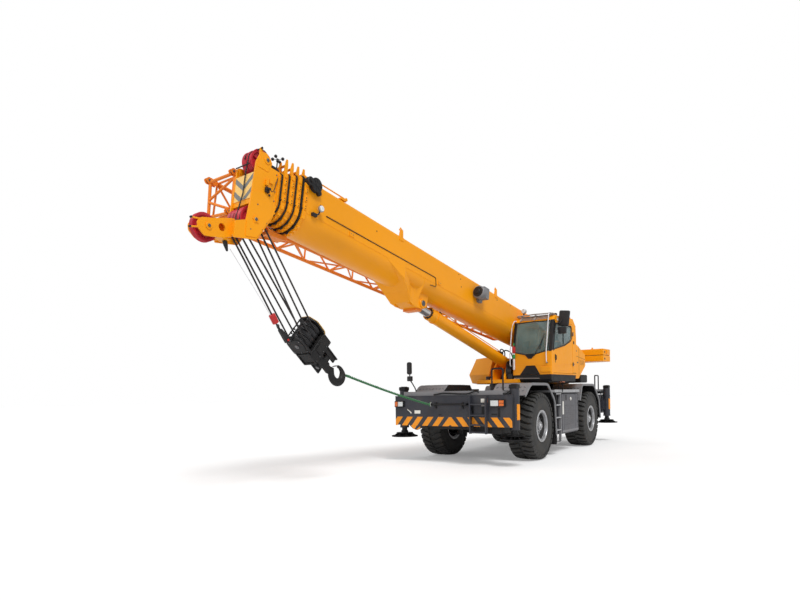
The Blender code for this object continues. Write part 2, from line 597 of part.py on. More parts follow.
def make_moving_sections(boom):
    parent = boom
    for n in (2, 3, 4):
        inset = NEST_STEP * (n - 1)
        frame = empty(f"telescope_{n}", parent)
        low = BASE_U[1] + 0.006 + COLLAR_STEP * (n - 2)
        tail = 0.25 + SECTION_TAIL * n
        tube = section_pipe(inset, tail, low + COLLAR_L)
        collar = collar_pipe(inset, low, low + COLLAR_L, 0.13)
        solid(f"boom_section_{n}", ORANGE, frame, [tube, *collar])
        parent = frame
    return empty("telescope_5", parent)


def make_head(frame):
    inset = NEST_STEP * 4
    low = BASE_U[1] + 0.006 + COLLAR_STEP * 3
    tube = section_pipe(inset, 0.75, 10.60)
    plate = prism([(low, -0.16), (low, 0.40), (10.78, 0.40), (10.74, 0.52), (10.87, 0.66), (10.98, 0.62),
                   (11.04, 0.36), (11.06, -0.30), (11.09, -0.58), (11.27, -0.66), (11.27, -0.92),
                   (10.85, -0.81), (10.62, -0.38)], HEAD_Y - 0.03, HEAD_Y)
    within = HEAD_Y - 0.01
    roof = box((low + 0.001, -within, 0.36), (10.615, within, 0.395))
    face = box((11.01, -within, -0.27), (11.04, within, 0.20))
    floor = box((low + 0.001, -within, -0.288), (11.03, within, -0.258))
    nose = prism([(11.18, -0.61), (11.55, -0.73), (11.76, -0.80), (11.80, -0.90), (11.66, -1.03), (11.40, -0.96),
                  (11.18, -0.86)], 0.10, 0.13)
    cross = box((11.19, -within, -0.87), (11.25, within, -0.66))
    guards = [bar((11.70, 0.115, -0.82), (11.90, 0.115, -0.85), 0.028, 6),
              bar((11.72, 0.115, -0.93), (11.90, 0.115, -0.99), 0.028, 6)]
    pins = [bar((11.888, -0.12, z), (11.888, 0.12, z), 0.026, 6) for z in (-0.848, -0.986)]
    axles = [drum(0.035, -HEAD_Y - 0.02, HEAD_Y + 0.02, (u, 0, v), "Y", 12) for u, v, _ in (SHEAVE_MAIN, SHEAVE_TOP)]
    axles.append(drum(0.035, -0.15, 0.15, (SHEAVE_NOSE[0], 0, SHEAVE_NOSE[1]), "Y", 12))
    solid("boom_head_section", ORANGE, frame,
          [tube, *both_sides(plate, nose, *guards), roof, face, floor, cross, *pins, *axles])


def sheave_pack(half, radius, count):
    """Grooved wheels side by side on one hub, bored for their axle."""
    pitch = 2 * half / count
    profile = [(0.045, half)]
    for n in range(count):
        edge = half - pitch * n
        profile += [(radius, edge - pitch * 0.08), (radius - 0.05, edge - pitch * 0.5), (radius, edge - pitch * 0.92)]
    profile.append((0.045, -half))
    return turned(profile, 16, "Y", ring=True)


def make_sheaves(frame):
    places = (("main_sheaves", SHEAVE_MAIN, 4), ("top_sheaves", SHEAVE_TOP, 2), ("nose_sheave", SHEAVE_NOSE, 1))
    for (name, (u, v, radius), count), half in zip(places, PACK_HALF):
        axis = empty(name + "_axis", frame, (u, 0, v))
        solid(name, NYLON, axis, [sheave_pack(half, radius, count)])


JIB_ENDS = ((10.85, -0.45, -1.02, -0.26, 0.40), (1.30, -0.56, -0.86, -0.06, 0.14))   # u, y in, y out, v low, v high
JIB_BAYS = 8


def make_jib(boom):
    def corner(share, side, level):
        start, end = JIB_ENDS
        mix = [a + (b - a) * share for a, b in zip(start, end)]
        return (mix[0], mix[1 + side], mix[3 + level])

    shapes = []
    for side in (0, 1):
        for level in (0, 1):
            shapes.append(bar(corner(0, side, level), corner(1, side, level), 0.075))
    for k in range(JIB_BAYS + 1):
        a = k / JIB_BAYS
        b = min(1, (k + 1) / JIB_BAYS)
        ring = [corner(a, 0, 0), corner(a, 1, 0), corner(a, 1, 1), corner(a, 0, 1)]
        for i in range(4):
            shapes.append(bar(ring[i], ring[(i + 1) % 4], 0.05))
        if k == JIB_BAYS:
            break
        for side in (0, 1):
            shapes.append(bar(corner(a, side, k % 2), corner(b, side, (k + 1) % 2), 0.045))
    for share in (0.20, 0.72):
        u, y, v = corner(share, 0, 0)
        shapes.append(box((u - 0.05, y - 0.03, v - 0.02), (u + 0.05, -BOOM_HALF - GAP, v + 0.16)))
    solid("lattice_jib", JIB_ORANGE, boom, shapes)


# Luffing cylinder: the rod hangs from the boom and carries the barrel, whose lower eye is left open

def make_cylinder(boom):
    foot = Vector((CYL_BASE[0] - PIVOT[0], 0, CYL_BASE[1] - PIVOT[1]))
    foot.rotate(Euler((0, LUFF, 0)))
    pin = Vector((CYL_TOP[0], 0, CYL_TOP[1]))
    along = foot - pin
    lean = math.atan2(along.z, -along.x)
    length = along.length
    rod_frame = empty("cylinder_pin", boom, pin, (0, lean, 0))
    eye = drum(0.085, -0.155, 0.155, (0, 0, 0), "Y")
    rod = drum(ROD_R - 0.001, -3.70, -0.05, axis="X")
    solid("cylinder_rod", CHROME, rod_frame, [rod, eye])
    barrel_frame = empty("cylinder_stroke", rod_frame)
    barrel = drum(BARREL_R, -length + 0.08, -0.56, axis="X")
    gland = drum(BARREL_R + 0.002, -0.70, -0.55, axis="X")
    lower_eye = drum(0.13, -0.145, 0.145, (-length, 0, 0), "Y")
    bore = drum(ROD_R + 0.004, -length + 0.25, 1, axis="X")
    solid("cylinder_barrel", ORANGE, barrel_frame, [barrel, gland, lower_eye], [bore])


# Hook block, hanging on its falls from the main sheaves

BLOCK_L = 0.92
BLOCK_TILT = math.radians(14)      # the block leans back further than its falls, pulled by its tie
BLOCK_WHEELS = (0.185, 0.271, -0.20)    # radius, half width, height below its top


def make_hook(frame):
    """The block hangs a quarter turn round, its sheaves' axle along the boom."""
    swing = empty("hook_swing", frame, (SHEAVE_MAIN[0], 0, SHEAVE_MAIN[1]), (0, LUFF + ROPE_LEAN, 0))
    place = Matrix.Translation((-0.03, 0, -HOOK_DROP)) @ Matrix.Rotation(BLOCK_TILT, 4, "Y")
    radius, half, level = BLOCK_WHEELS
    outline = [(-0.10, 0.02), (0.10, 0.02), (0.20, -0.12), (0.20, -0.34), (0.13, -0.40), (-0.13, -0.40),
               (-0.20, -0.34), (-0.20, -0.12)]
    block = [drum(radius, -half, half, (0, 0, level), "X", 16),
             prism(outline, half - 0.001, half + 0.04, "X"), prism(outline, -half - 0.04, 0.001 - half, "X"),
             box((-0.33, -0.15, 0.30 - BLOCK_L), (0.33, 0.15, level - radius + 0.025)),
             box((-0.22, -0.12, -BLOCK_L), (0.22, 0.12, 0.32 - BLOCK_L)),
             *[bar((-0.30, y, 0), (0.30, y, 0), 0.03, 6) for y in (-0.09, 0.09)]]
    for shape in block:
        bmesh.ops.transform(shape, matrix=place, verts=shape.verts)
    ropes = []
    for side in (-1, 1):
        for y in (-0.13, 0, 0.13):
            ropes.append(bar(place @ Vector((-1.5 * y, 0.16 * side, level + 0.08)), (0.19 * side, y, -0.28), 0.024, 6))
    weight = drum(0.055, -1.56, -1.40, (0.345, 0, 0), "Z", 12)
    tied = bar((0.345, 0, -0.22), (0.345, 0, -1.66), 0.024, 6)
    socket = bar((0.345, 0, -1.62), (0.25, 0, -1.98), 0.10, 6)
    solid("hook_block", BLACK, swing, [*block, *ropes, weight, tied, socket])
    swivel = empty("hook_swivel", swing, place @ Vector((0, 0, -BLOCK_L)), (0, BLOCK_TILT, 0))
    shank = drum(0.045, -0.13, -0.01)
    points = []
    for k in range(13):
        turn = math.radians(105 - 265 * k / 12)
        points.append((0.13 * math.cos(turn), -0.26 + 0.13 * math.sin(turn)))
    bowl = []
    for k in range(12):
        thick = 0.10 if k < 9 else 0.10 - 0.02 * (k - 8)
        bowl.append(bar((points[k][0], 0, points[k][1]), (points[k + 1][0], 0, points[k + 1][1]), thick, 6))
    solid("hook", BLACK, swivel, [shank, *bowl])


def centre_on_box():
    """Moves the crane so that the middle of its box is over the origin."""
    bpy.context.view_layer.update()
    graph = bpy.context.evaluated_depsgraph_get()
    corners = []
    for thing in bpy.data.objects:
        if thing.type == "MESH" and not thing.hide_render:
            seen = thing.evaluated_get(graph)
            corners += [seen.matrix_world @ vert.co for vert in seen.data.vertices]
    for axis in (0, 1):
        values = [corner[axis] for corner in corners]
        crane.location[axis] = -(min(values) + max(values)) / 2
    crane.location.z = TYRE_R - AXLE_Z


make_chassis()
make_decks()
make_outrigger_boxes()
make_front_panel()
make_ladders()
make_tanks()
make_engine()
make_axles()
make_wheels()
make_outriggers()
superstructure = empty("superstructure", crane, turn=(0, 0, SLEW))
make_turntable(superstructure)
make_hoods(superstructure)
make_cab(superstructure)
make_winches(superstructure)
boom_frame = empty("boom_luff", superstructure, (PIVOT[0], 0, PIVOT[1]), (0, -LUFF, 0))
make_base_section(boom_frame)
head_frame = make_moving_sections(boom_frame)
make_head(head_frame)
make_sheaves(head_frame)
make_jib(boom_frame)
make_cylinder(boom_frame)
make_hook(head_frame)
centre_on_box()
for node in bpy.data.objects:
    if node.type == "MESH" and not node.hide_render:
        node.data.shade_smooth()
        node.data.set_sharp_from_angle(angle=math.radians(30))
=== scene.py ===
"""Looks of the rough terrain crane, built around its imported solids.

Metres. Pieces are drawn in the frame of what carries them: the carrier's frame has its origin on the ground
below the slewing axis, the superstructure's is turned with the slew, and the boom's has X along the boom and
Z square to it, from the boom foot. In the hanging frame Z runs up the rope falls, from the main sheaves.
"""

import json
import math

import bmesh
import bpy
from mathutils import Matrix, Vector


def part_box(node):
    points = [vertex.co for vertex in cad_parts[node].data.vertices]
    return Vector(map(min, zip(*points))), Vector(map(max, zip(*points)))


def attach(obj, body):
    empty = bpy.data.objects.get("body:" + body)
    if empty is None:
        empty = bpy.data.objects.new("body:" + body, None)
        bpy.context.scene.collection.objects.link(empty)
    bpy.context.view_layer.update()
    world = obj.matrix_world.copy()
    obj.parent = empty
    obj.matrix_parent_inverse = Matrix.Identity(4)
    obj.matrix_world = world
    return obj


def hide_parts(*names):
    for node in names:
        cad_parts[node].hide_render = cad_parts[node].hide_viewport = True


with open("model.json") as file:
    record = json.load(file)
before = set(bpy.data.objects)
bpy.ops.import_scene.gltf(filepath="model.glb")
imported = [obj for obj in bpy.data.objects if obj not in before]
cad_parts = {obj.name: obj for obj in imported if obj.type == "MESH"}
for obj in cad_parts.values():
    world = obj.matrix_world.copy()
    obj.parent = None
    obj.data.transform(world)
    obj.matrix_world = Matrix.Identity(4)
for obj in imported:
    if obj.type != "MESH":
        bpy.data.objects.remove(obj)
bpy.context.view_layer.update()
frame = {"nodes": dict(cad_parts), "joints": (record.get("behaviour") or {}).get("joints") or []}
NODES = frame["nodes"]
JOINTS = {joint["name"]: joint for joint in frame["joints"]}
CORNERS = ("front_left", "front_right", "rear_left", "rear_right")

# Sheave axles and the cylinder's upper pin in the boom's frame, then its lower pin and the boom's pin
# in the superstructure's.
LOWER_AXLE = (10.93, 0, -0.52)
TOP_AXLE = (10.84, 0, 0.47)
NOSE_AXLE = (11.62, 0, -0.87)
ROD_EYE = (6.45, 0, -0.55)
BARREL_EYE = (0.55, 0, 2.40)
BOOM_PIN = (-1.61, 0, 3.036)


def joint_at(name):
    return Vector(JOINTS[name]["pos_m"])


def upright(place, along):
    """A frame at a place whose X runs along a direction and whose Y stays level."""
    x = Vector(along).normalized()
    y = Vector((-x.y, x.x, 0)).normalized()
    z = x.cross(y)
    turn = Matrix((x, y, z)).transposed().to_4x4()
    return Matrix.Translation(place) @ turn


SLEW_AXIS = joint_at("slew")
BOOM_ALONG = Vector(JOINTS["telescope_2"]["axis"])
CARRIER = Matrix.Translation(SLEW_AXIS)
SUPER = upright(SLEW_AXIS, (BOOM_ALONG.x, BOOM_ALONG.y, 0))
BOOM = upright(joint_at("boom_luff"), BOOM_ALONG)
FALLS_UP = Vector(JOINTS["hook_swivel"]["axis"])
HANG_X = Vector((-BOOM_ALONG.y, BOOM_ALONG.x, 0)).normalized().cross(FALLS_UP)
HOOK = upright(joint_at("hook_swivel"), HANG_X)
CYLINDER = upright(joint_at("cylinder_turn"), joint_at("cylinder_turn") - SUPER @ Vector(BARREL_EYE))


# Shapes

def finished(shape):
    bmesh.ops.recalc_face_normals(shape, faces=shape.faces[:])
    return shape


def soft(shape, width, segments=2, angle=28):
    """The same shape with its sharp edges rounded off."""
    limit = math.radians(angle)
    edges = [edge for edge in shape.edges if len(edge.link_faces) == 2 and edge.calc_face_angle(0) > limit]
    bmesh.ops.bevel(shape, geom=edges, offset=width, segments=segments, profile=0.5, affect="EDGES",
                    clamp_overlap=True)
    return shape


def block(low, high, edge=0.0):
    shape = bmesh.new()
    bmesh.ops.create_cube(shape, size=1)
    size = [b - a for a, b in zip(low, high)]
    middle = [(a + b) / 2 for a, b in zip(low, high)]
    bmesh.ops.transform(shape, matrix=Matrix.Diagonal((*size, 1)), verts=shape.verts)
    bmesh.ops.translate(shape, vec=middle, verts=shape.verts)
    return soft(shape, edge) if edge else shape


def on_axis(axis, a, b, along):
    return {"X": (along, a, b), "Y": (a, along, b), "Z": (a, b, along)}[axis]


def prism(outline, low, high, axis="Y", edge=0.0):
    shape = bmesh.new()
    ends = [[shape.verts.new(on_axis(axis, a, b, h)) for a, b in outline] for h in (low, high)]
    for end in ends:
        shape.faces.new(end)
    for i in range(len(outline)):
        j = (i + 1) % len(outline)
        shape.faces.new((ends[0][i], ends[0][j], ends[1][j], ends[1][i]))
    finished(shape)
    return soft(shape, edge) if edge else shape


def loft(rings, caps=True, closed=False):
    """A skin through rings of equally many points."""
    shape = bmesh.new()
    lines = [[shape.verts.new(point) for point in ring] for ring in rings]
    count = len(lines[0])
    spans = len(lines) if closed else len(lines) - 1
    for k in range(spans):
        near, far = lines[k], lines[(k + 1) % len(lines)]
        for i in range(count):
            j = (i + 1) % count
            shape.faces.new((near[i], near[j], far[j], far[i]))
    if caps and not closed:
        shape.faces.new(lines[0])
        shape.faces.new(lines[-1][::-1])
    return finished(shape)


def pipe(outer, inner, low, high, axis="X"):
    """A straight tube between two outlines that have the same number of points."""
    rings = [[on_axis(axis, a, b, h) for a, b in line]
             for line, h in ((outer, low), (outer, high), (inner, high), (inner, low))]
    return loft(rings, closed=True)


def lathe(profile, steps, axis="Z", place=(0, 0, 0), ring=False):
    """A solid turned about an axis from (radius, height) points; a ring's profile closes on itself."""
    shape = bmesh.new()
    lines = []
    for radius, height in profile:
        if radius < 1e-6:
            lines.append([shape.verts.new(on_axis(axis, 0, 0, height))])
            continue
        turns = [math.tau * k / steps for k in range(steps)]
        lines.append([shape.verts.new(on_axis(axis, radius * math.sin(t), radius * math.cos(t), height))
                      for t in turns])
    last = len(lines) if ring else len(lines) - 1
    for k in range(last):
        near, far = lines[k], lines[(k + 1) % len(lines)]
        for i in range(steps):
            j = (i + 1) % steps
            corners = []
            for vert in (near[i % len(near)], near[j % len(near)], far[j % len(far)], far[i % len(far)]):
                if vert not in corners:
                    corners.append(vert)
            if len(corners) > 2:
                shape.faces.new(corners)
    bmesh.ops.translate(shape, vec=place, verts=shape.verts)
    return finished(shape)


def drum(radius, low, high, place=(0, 0, 0), axis="Z", steps=32, edge=0.0):
    """A round solid, its rims chamfered by the edge."""
    profile = [(0, high), (radius - edge, high), (radius, high - edge), (radius, low + edge),
               (radius - edge, low), (0, low)] if edge else [(0, high), (radius, high), (radius, low),
                                                             (0, low)]
    return lathe(profile, steps, axis, place)


def ring(outer, inner, low, high, place=(0, 0, 0), axis="Z", steps=32):
    profile = [(outer, high), (outer, low), (inner, low), (inner, high)]
    return lathe(profile, steps, axis, place, ring=True)


def bolts(radius, count, size, low, high, place=(0, 0, 0), axis="Z", first=0.0):
    """Hexagonal heads in a circle."""
    heads = []
    for k in range(count):
        turn = math.tau * k / count + first
        off = on_axis(axis, radius * math.sin(turn), radius * math.cos(turn), 0)
        centre = [a + b for a, b in zip(place, off)]
        heads.append(drum(size, low, high, centre, axis, 6, size * 0.15))
    return heads


def sweep(points, radius, sides=10, closed=False):
    """A round tube along a line of points."""
    points = [Vector(point) for point in points]
    count = len(points)
    rings = []
    side = None
    for i in range(count):
        before = points[i - 1] if closed or i else points[i]
        after = points[(i + 1) % count] if closed or i < count - 1 else points[i]
        along = (after - before).normalized()
        if side is None:
            side = along.orthogonal().normalized()
        side = (side - along * side.dot(along)).normalized()
        other = along.cross(side)
        rings.append([points[i] + (side * math.cos(t) + other * math.sin(t)) * radius
                      for t in (math.tau * k / sides for k in range(sides))])
    return loft(rings, closed=closed)


def curved(points, steps=6, closed=False):
    """A smooth line through points, for hoses and bent tubes."""
    points = [Vector(point) for point in points]
    count = len(points)
    line = []
    for i in range(count if closed else count - 1):
        a = points[i - 1] if closed or i else points[0] * 2 - points[1]
        b, c = points[i], points[(i + 1) % count]
        last = points[-1] * 2 - points[-2]
        d = points[(i + 2) % count] if closed or i + 2 < count else last
        for k in range(steps):
            t = k / steps
            line.append(0.5 * (2 * b + (c - a) * t + (2 * a - 5 * b + 4 * c - d) * t * t
                               + (3 * b - a - 3 * c + d) * t ** 3))
    if not closed:
        line.append(points[-1])
    return line


def bend(before, corner, after, radius, steps):
    """Points of the curve that takes a corner's place."""
    back = (before - corner).normalized() * min(radius, (before - corner).length * 0.49)
    ahead = (after - corner).normalized() * min(radius, (after - corner).length * 0.49)
    shares = [k / steps for k in range(steps + 1)]
    return [corner + back * (1 - t) ** 2 + ahead * t ** 2 for t in shares]


def rounded(points, radius, steps=4):
    """A line of straight runs whose corners are arcs, for bent tubes."""
    points = [Vector(point) for point in points]
    line = [points[0]]
    for before, corner, after in zip(points, points[1:], points[2:]):
        line += bend(before, corner, after, radius, steps)
    line.append(points[-1])
    return line


def rod(start, end, radius, sides=12):
    return sweep([start, end], radius, sides)


def rope_winding(radius, rope, low, high, sides=6, per_turn=24, axis="Y"):
    """One layer of rope on a drum."""
    turns = int((high - low) / (rope * 2.06))
    points = []
    for k in range(turns * per_turn + 1):
        turn = math.tau * k / per_turn
        along = low + rope + (high - low - rope * 2) * k / (turns * per_turn)
        points.append(on_axis(axis, radius * math.sin(turn), radius * math.cos(turn), along))
    return sweep(points, rope, sides)


def mirrored(shape):
    copy = shape.copy()
    bmesh.ops.scale(copy, vec=(1, -1, 1), verts=copy.verts)
    return finished(copy)


def both(*shapes):
    return [*shapes, *(mirrored(shape) for shape in shapes)]


def turned(shape, angle, axis, centre=(0, 0, 0)):
    """The shape turned in place by an angle in degrees."""
    turn = Matrix.Rotation(math.radians(angle), 3, axis)
    bmesh.ops.rotate(shape, cent=centre, matrix=turn, verts=shape.verts)
    return shape


def shifted(shape, by):
    copy = shape.copy()
    bmesh.ops.translate(copy, vec=by, verts=copy.verts)
    return copy


def arc(centre, radius, start, end, steps):
    """Points of a circle's arc in a plane, from one angle to another in degrees."""
    angles = [math.radians(start + (end - start) * k / steps) for k in range(steps + 1)]
    return [(centre[0] + radius * math.cos(a), centre[1] + radius * math.sin(a)) for a in angles]


def smooth_outline(points, radius, steps=4):
    """A closed flat outline with its corners rounded."""
    points = [Vector(point) for point in points]
    line = []
    for i, corner in enumerate(points):
        after = points[(i + 1) % len(points)]
        line += [(point.x, point.y) for point in bend(points[i - 1], corner, after, radius, steps)]
    return line


def across_line(line, i):
    """Unit direction square to a flat line at one of its points."""
    before, after = line[max(i - 1, 0)], line[min(i + 1, len(line) - 1)]
    along = Vector((after[0] - before[0], after[1] - before[1])).normalized()
    return Vector((-along.y, along.x))


def flat(groups):
    for item in groups:
        if isinstance(item, (list, tuple)):
            yield from flat(item)
        else:
            yield item


def piece(name, body, place, *groups, replaces=(), slot=None):
    """An object riding on a body, from groups of (material, shapes) drawn in the frame of its place."""
    mesh = bpy.data.meshes.new(name)
    whole = bmesh.new()
    for index, (material, *shapes) in enumerate(groups):
        mesh.materials.append(material)
        for shape in flat(shapes):
            for face in shape.faces:
                face.material_index = index
                face.smooth = True
            part = bpy.data.meshes.new("part")
            shape.to_mesh(part)
            whole.from_mesh(part)
            bpy.data.meshes.remove(part)
    whole.to_mesh(mesh)
    whole.free()
    mesh.set_sharp_from_angle(angle=math.radians(38))
    made = bpy.data.objects.new(name, mesh)
    bpy.context.collection.objects.link(made)
    made.matrix_world = place
    normals = made.modifiers.new("flat_faces", "WEIGHTED_NORMAL")
    normals.keep_sharp = True
    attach(made, body)
    if replaces:
        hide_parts(*replaces)
    return made


# Materials

def srgb(*channels):
    """A linear colour from 0 to 255 values."""
    return tuple((c / 255 / 12.92 if c <= 10 else ((c / 255 + 0.055) / 1.055) ** 2.4) for c in channels)


class Look:
    """A material with one Principled shader, built by short calls."""

    def __init__(self, name, colour, rough=0.5, metal=0.0, **more):
        self.made = bpy.data.materials.new(name)
        self.made.use_nodes = True
        self.tree = self.made.node_tree
        self.shader = self.tree.nodes["Principled BSDF"]
        self.colour = srgb(*colour)
        self.set("Base Color", (*self.colour, 1))
        self.set("Roughness", rough)
        self.set("Metallic", metal)
        for key, value in more.items():
            self.set(key.replace("_", " ").title().replace("Ior", "IOR"), value)
        self.place = self.tree.nodes.new("ShaderNodeTexCoord").outputs["Object"]

    def set(self, socket, value):
        self.shader.inputs[socket].default_value = value

    def node(self, kind, inputs=None, **settings):
        made = self.tree.nodes.new("ShaderNode" + kind)
        for key, value in settings.items():
            setattr(made, key, value)
        for key, value in (inputs or {}).items():
            if isinstance(value, bpy.types.NodeSocket):
                self.tree.links.new(value, made.inputs[key])
            else:
                made.inputs[key].default_value = value
        return made

    def noise(self, scale, detail=3.0, stretch=None):
        place = self.place
        if stretch:
            place = self.node("Mapping", {"Vector": place, "Scale": stretch}).outputs[0]
        return self.node("TexNoise", {"Vector": place, "Scale": scale, "Detail": detail}).outputs["Fac"]

    def voronoi(self, scale, feature="F1"):
        made = self.node("TexVoronoi", {"Vector": self.place, "Scale": scale}, feature=feature)
        return made.outputs["Distance"]

    def wave(self, scale, direction="DIAGONAL", distortion=0.0):
        inputs = {"Vector": self.place, "Scale": scale, "Distortion": distortion}
        return self.node("TexWave", inputs, bands_direction=direction).outputs["Fac"]

    def span(self, value, low, high, to_low=0.0, to_high=1.0):
        inputs = {"Value": value, "From Min": low, "From Max": high, "To Min": to_low, "To Max": to_high}
        return self.node("MapRange", inputs).outputs[0]

    def maths(self, operation, a, b=0.0):
        return self.node("Math", {0: a, 1: b}, operation=operation, use_clamp=False).outputs[0]

    def mix(self, share, a, b):
        """A colour between two, each a socket or a linear colour."""
        made = self.node("Mix", data_type="RGBA")
        for index, value in ((0, share), (6, a), (7, b)):
            if isinstance(value, bpy.types.NodeSocket):
                self.tree.links.new(value, made.inputs[index])
            else:
                made.inputs[index].default_value = (*value, 1) if index else value
        return made.outputs[2]

    def into(self, socket, value):
        self.tree.links.new(value, self.shader.inputs[socket])

    def bump(self, height, distance, strength=1.0):
        made = self.node("Bump", {"Height": height, "Distance": distance, "Strength": strength})
        self.into("Normal", made.outputs[0])


def scaled(colour, factor):
    return tuple(min(1.0, c * factor) for c in colour)


def paint(name, colour, rough=0.35, coat=0.25, dust=0.10, peel=0.0006, dust_colour=(150, 140, 125)):
    """Sprayed paint: slow changes of tone, dust that gathers in patches, and orange peel."""
    look = Look(name, colour, coat_weight=coat, coat_roughness=0.12, specular_ior_level=0.3)
    tone = look.span(look.noise(0.7, 4.0), 0.3, 0.7)
    base = look.mix(tone, scaled(look.colour, 0.93), scaled(look.colour, 1.04))
    patches = look.maths("MULTIPLY", look.span(look.noise(2.3, 6.0), 0.45, 0.8),
                         look.span(look.noise(38.0, 3.0), 0.3, 0.7))
    streaks = look.span(look.noise(5.0, 4.0, (1.0, 1.0, 0.12)), 0.52, 0.80)
    grime = look.maths("MULTIPLY", look.maths("ADD", patches, look.maths("MULTIPLY", streaks, 0.4)), dust)
    look.into("Base Color", look.mix(grime, base, srgb(*dust_colour)))
    look.into("Roughness", look.maths("ADD",
                                      look.span(look.noise(9.0), 0.3, 0.7, rough - 0.05, rough + 0.06),
                                      look.maths("MULTIPLY", grime, 1.2)))
    look.bump(look.noise(260.0, 2.0), peel)
    return look.made


ORANGE = paint("orange_paint", (249, 161, 4), rough=0.38, coat=0.05, dust=0.04)
JIB_ORANGE = paint("jib_orange", (238, 134, 36), rough=0.42, coat=0.06)
CHARCOAL = paint("charcoal_paint", (54, 55, 62), rough=0.42, coat=0.1, dust=0.16)
DECK_GREY = paint("deck_grey_paint", (127, 127, 130), rough=0.5, coat=0.05, dust=0.2)
FRAME_BLACK = paint("black_paint", (21, 21, 24), rough=0.5, coat=0.05, dust=0.08)
STRIPE_ORANGE = paint("stripe_orange", (240, 150, 28), rough=0.4, coat=0.05, dust=0.12)
TANK_GREY = paint("tank_grey", (88, 88, 93), rough=0.45, coat=0.1, dust=0.2)
CREAM = paint("chevron_cream", (250, 205, 120), rough=0.3, coat=0.2, dust=0.05)
CHEVRON_GREY = paint("chevron_grey", (128, 128, 124), rough=0.3, coat=0.2, dust=0.05)
PLATE_WHITE = paint("blank_plate_white", (226, 224, 216), rough=0.35, coat=0.2, dust=0.12)
LABEL_ORANGE = paint("blank_label_orange", (226, 110, 40), rough=0.35, coat=0.2, dust=0.1)
ROOF_GREY = paint("guard_grey", (158, 152, 146), rough=0.45, coat=0.1, dust=0.2)
RED_PAINT = paint("red_paint", (190, 34, 36), rough=0.35, coat=0.3)
GREEN_PAINT = paint("green_paint", (40, 150, 80), rough=0.4)
WHITE_TUBE = paint("white_tube", (225, 225, 228), rough=0.3, coat=0.3, dust=0.06)


def make_rubber():
    look = Look("tyre_rubber", (48, 48, 48), rough=0.8)
    dust = look.maths("MULTIPLY", look.span(look.noise(4.0, 6.0), 0.4, 0.75),
                      look.span(look.noise(60.0, 2.0), 0.25, 0.75))
    look.into("Base Color", look.mix(look.maths("MULTIPLY", dust, 0.45), look.colour, srgb(112, 104, 92)))
    look.into("Roughness", look.span(dust, 0.0, 1.0, 0.68, 0.95))
    look.bump(look.maths("ADD", look.noise(180.0, 4.0), look.maths("MULTIPLY", look.noise(25.0), 0.6)),
              0.0015)
    return look.made


def make_rim_paint():
    look = Look("rim_silver", (186, 187, 190), rough=0.38, metal=0.55, coat_weight=0.2)
    grime = look.maths("MULTIPLY", look.span(look.noise(6.0, 5.0), 0.4, 0.75), 0.45)
    look.into("Base Color", look.mix(grime, look.colour, srgb(120, 114, 104)))
    look.into("Roughness", look.span(look.noise(14.0, 5.0), 0.3, 0.7, 0.3, 0.5))
    look.bump(look.noise(300.0), 0.0004)
    return look.made


def make_chrome():
    look = Look("chrome_rod", (214, 215, 218), metal=1.0)
    look.into("Roughness", look.span(look.noise(14.0, 4.0, (0.15, 1.0, 1.0)), 0.3, 0.7, 0.10, 0.24))
    look.into("Base Color", look.mix(look.span(look.noise(3.0, 5.0), 0.4, 0.8), look.colour,
                                     srgb(176, 170, 160)))
    look.bump(look.noise(500.0, 2.0, (0.02, 1.0, 1.0)), 0.0002)
    return look.made


def make_steel(name, colour, rough=0.45, metal=0.8):
    look = Look(name, colour, metal=metal)
    wear = look.span(look.noise(11.0, 6.0), 0.35, 0.75)
    look.into("Base Color", look.mix(wear, look.colour, scaled(look.colour, 0.6)))
    look.into("Roughness", look.span(look.noise(30.0, 4.0), 0.3, 0.7, rough - 0.1, rough + 0.12))
    look.bump(look.noise(140.0, 4.0), 0.0006)
    return look.made


def make_rope():
    look = Look("wire_rope", (62, 60, 60), rough=0.5, metal=0.7)
    lay = look.wave(26.0, "DIAGONAL", 0.6)
    look.into("Base Color", look.mix(lay, scaled(look.colour, 0.45), scaled(look.colour, 1.5)))
    look.bump(lay, 0.004)
    return look.made


def make_nylon():
    look = Look("sheave_red", (196, 40, 58), rough=0.42)
    scuff = look.span(look.noise(7.0, 6.0), 0.4, 0.8)
    look.into("Base Color", look.mix(look.maths("MULTIPLY", scuff, 0.5), look.colour, srgb(120, 18, 30)))
    look.into("Roughness", look.span(look.noise(20.0, 4.0), 0.3, 0.7, 0.34, 0.55))
    look.bump(look.noise(120.0, 3.0), 0.0005)
    return look.made


def make_plastic(name, colour, rough=0.55, grain=420.0):
    look = Look(name, colour)
    look.into("Base Color", look.mix(look.span(look.noise(5.0, 5.0), 0.4, 0.8), look.colour,
                                     scaled(look.colour, 1.5)))
    look.into("Roughness", look.span(look.noise(24.0, 3.0), 0.3, 0.7, rough - 0.08, rough + 0.08))
    look.bump(look.voronoi(grain), 0.0004)
    return look.made


def make_fabric(name, colour):
    look = Look(name, colour, rough=0.92, sheen_weight=0.3)
    weave = look.maths("MULTIPLY", look.wave(70.0, "X"), look.wave(70.0, "Z"))
    look.into("Base Color", look.mix(weave, scaled(look.colour, 0.7), scaled(look.colour, 1.6)))
    look.bump(weave, 0.0015)
    return look.made


def make_glass(name, colour, alpha):
    look = Look(name, colour, rough=0.04, coat_weight=0.6, alpha=alpha)
    look.into("Base Color", look.mix(look.span(look.noise(1.6, 2.0), 0.35, 0.7), scaled(look.colour, 0.7),
                                     scaled(look.colour, 1.35)))
    look.into("Roughness", look.span(look.noise(30.0, 5.0), 0.4, 0.8, 0.03, 0.12))
    return look.made


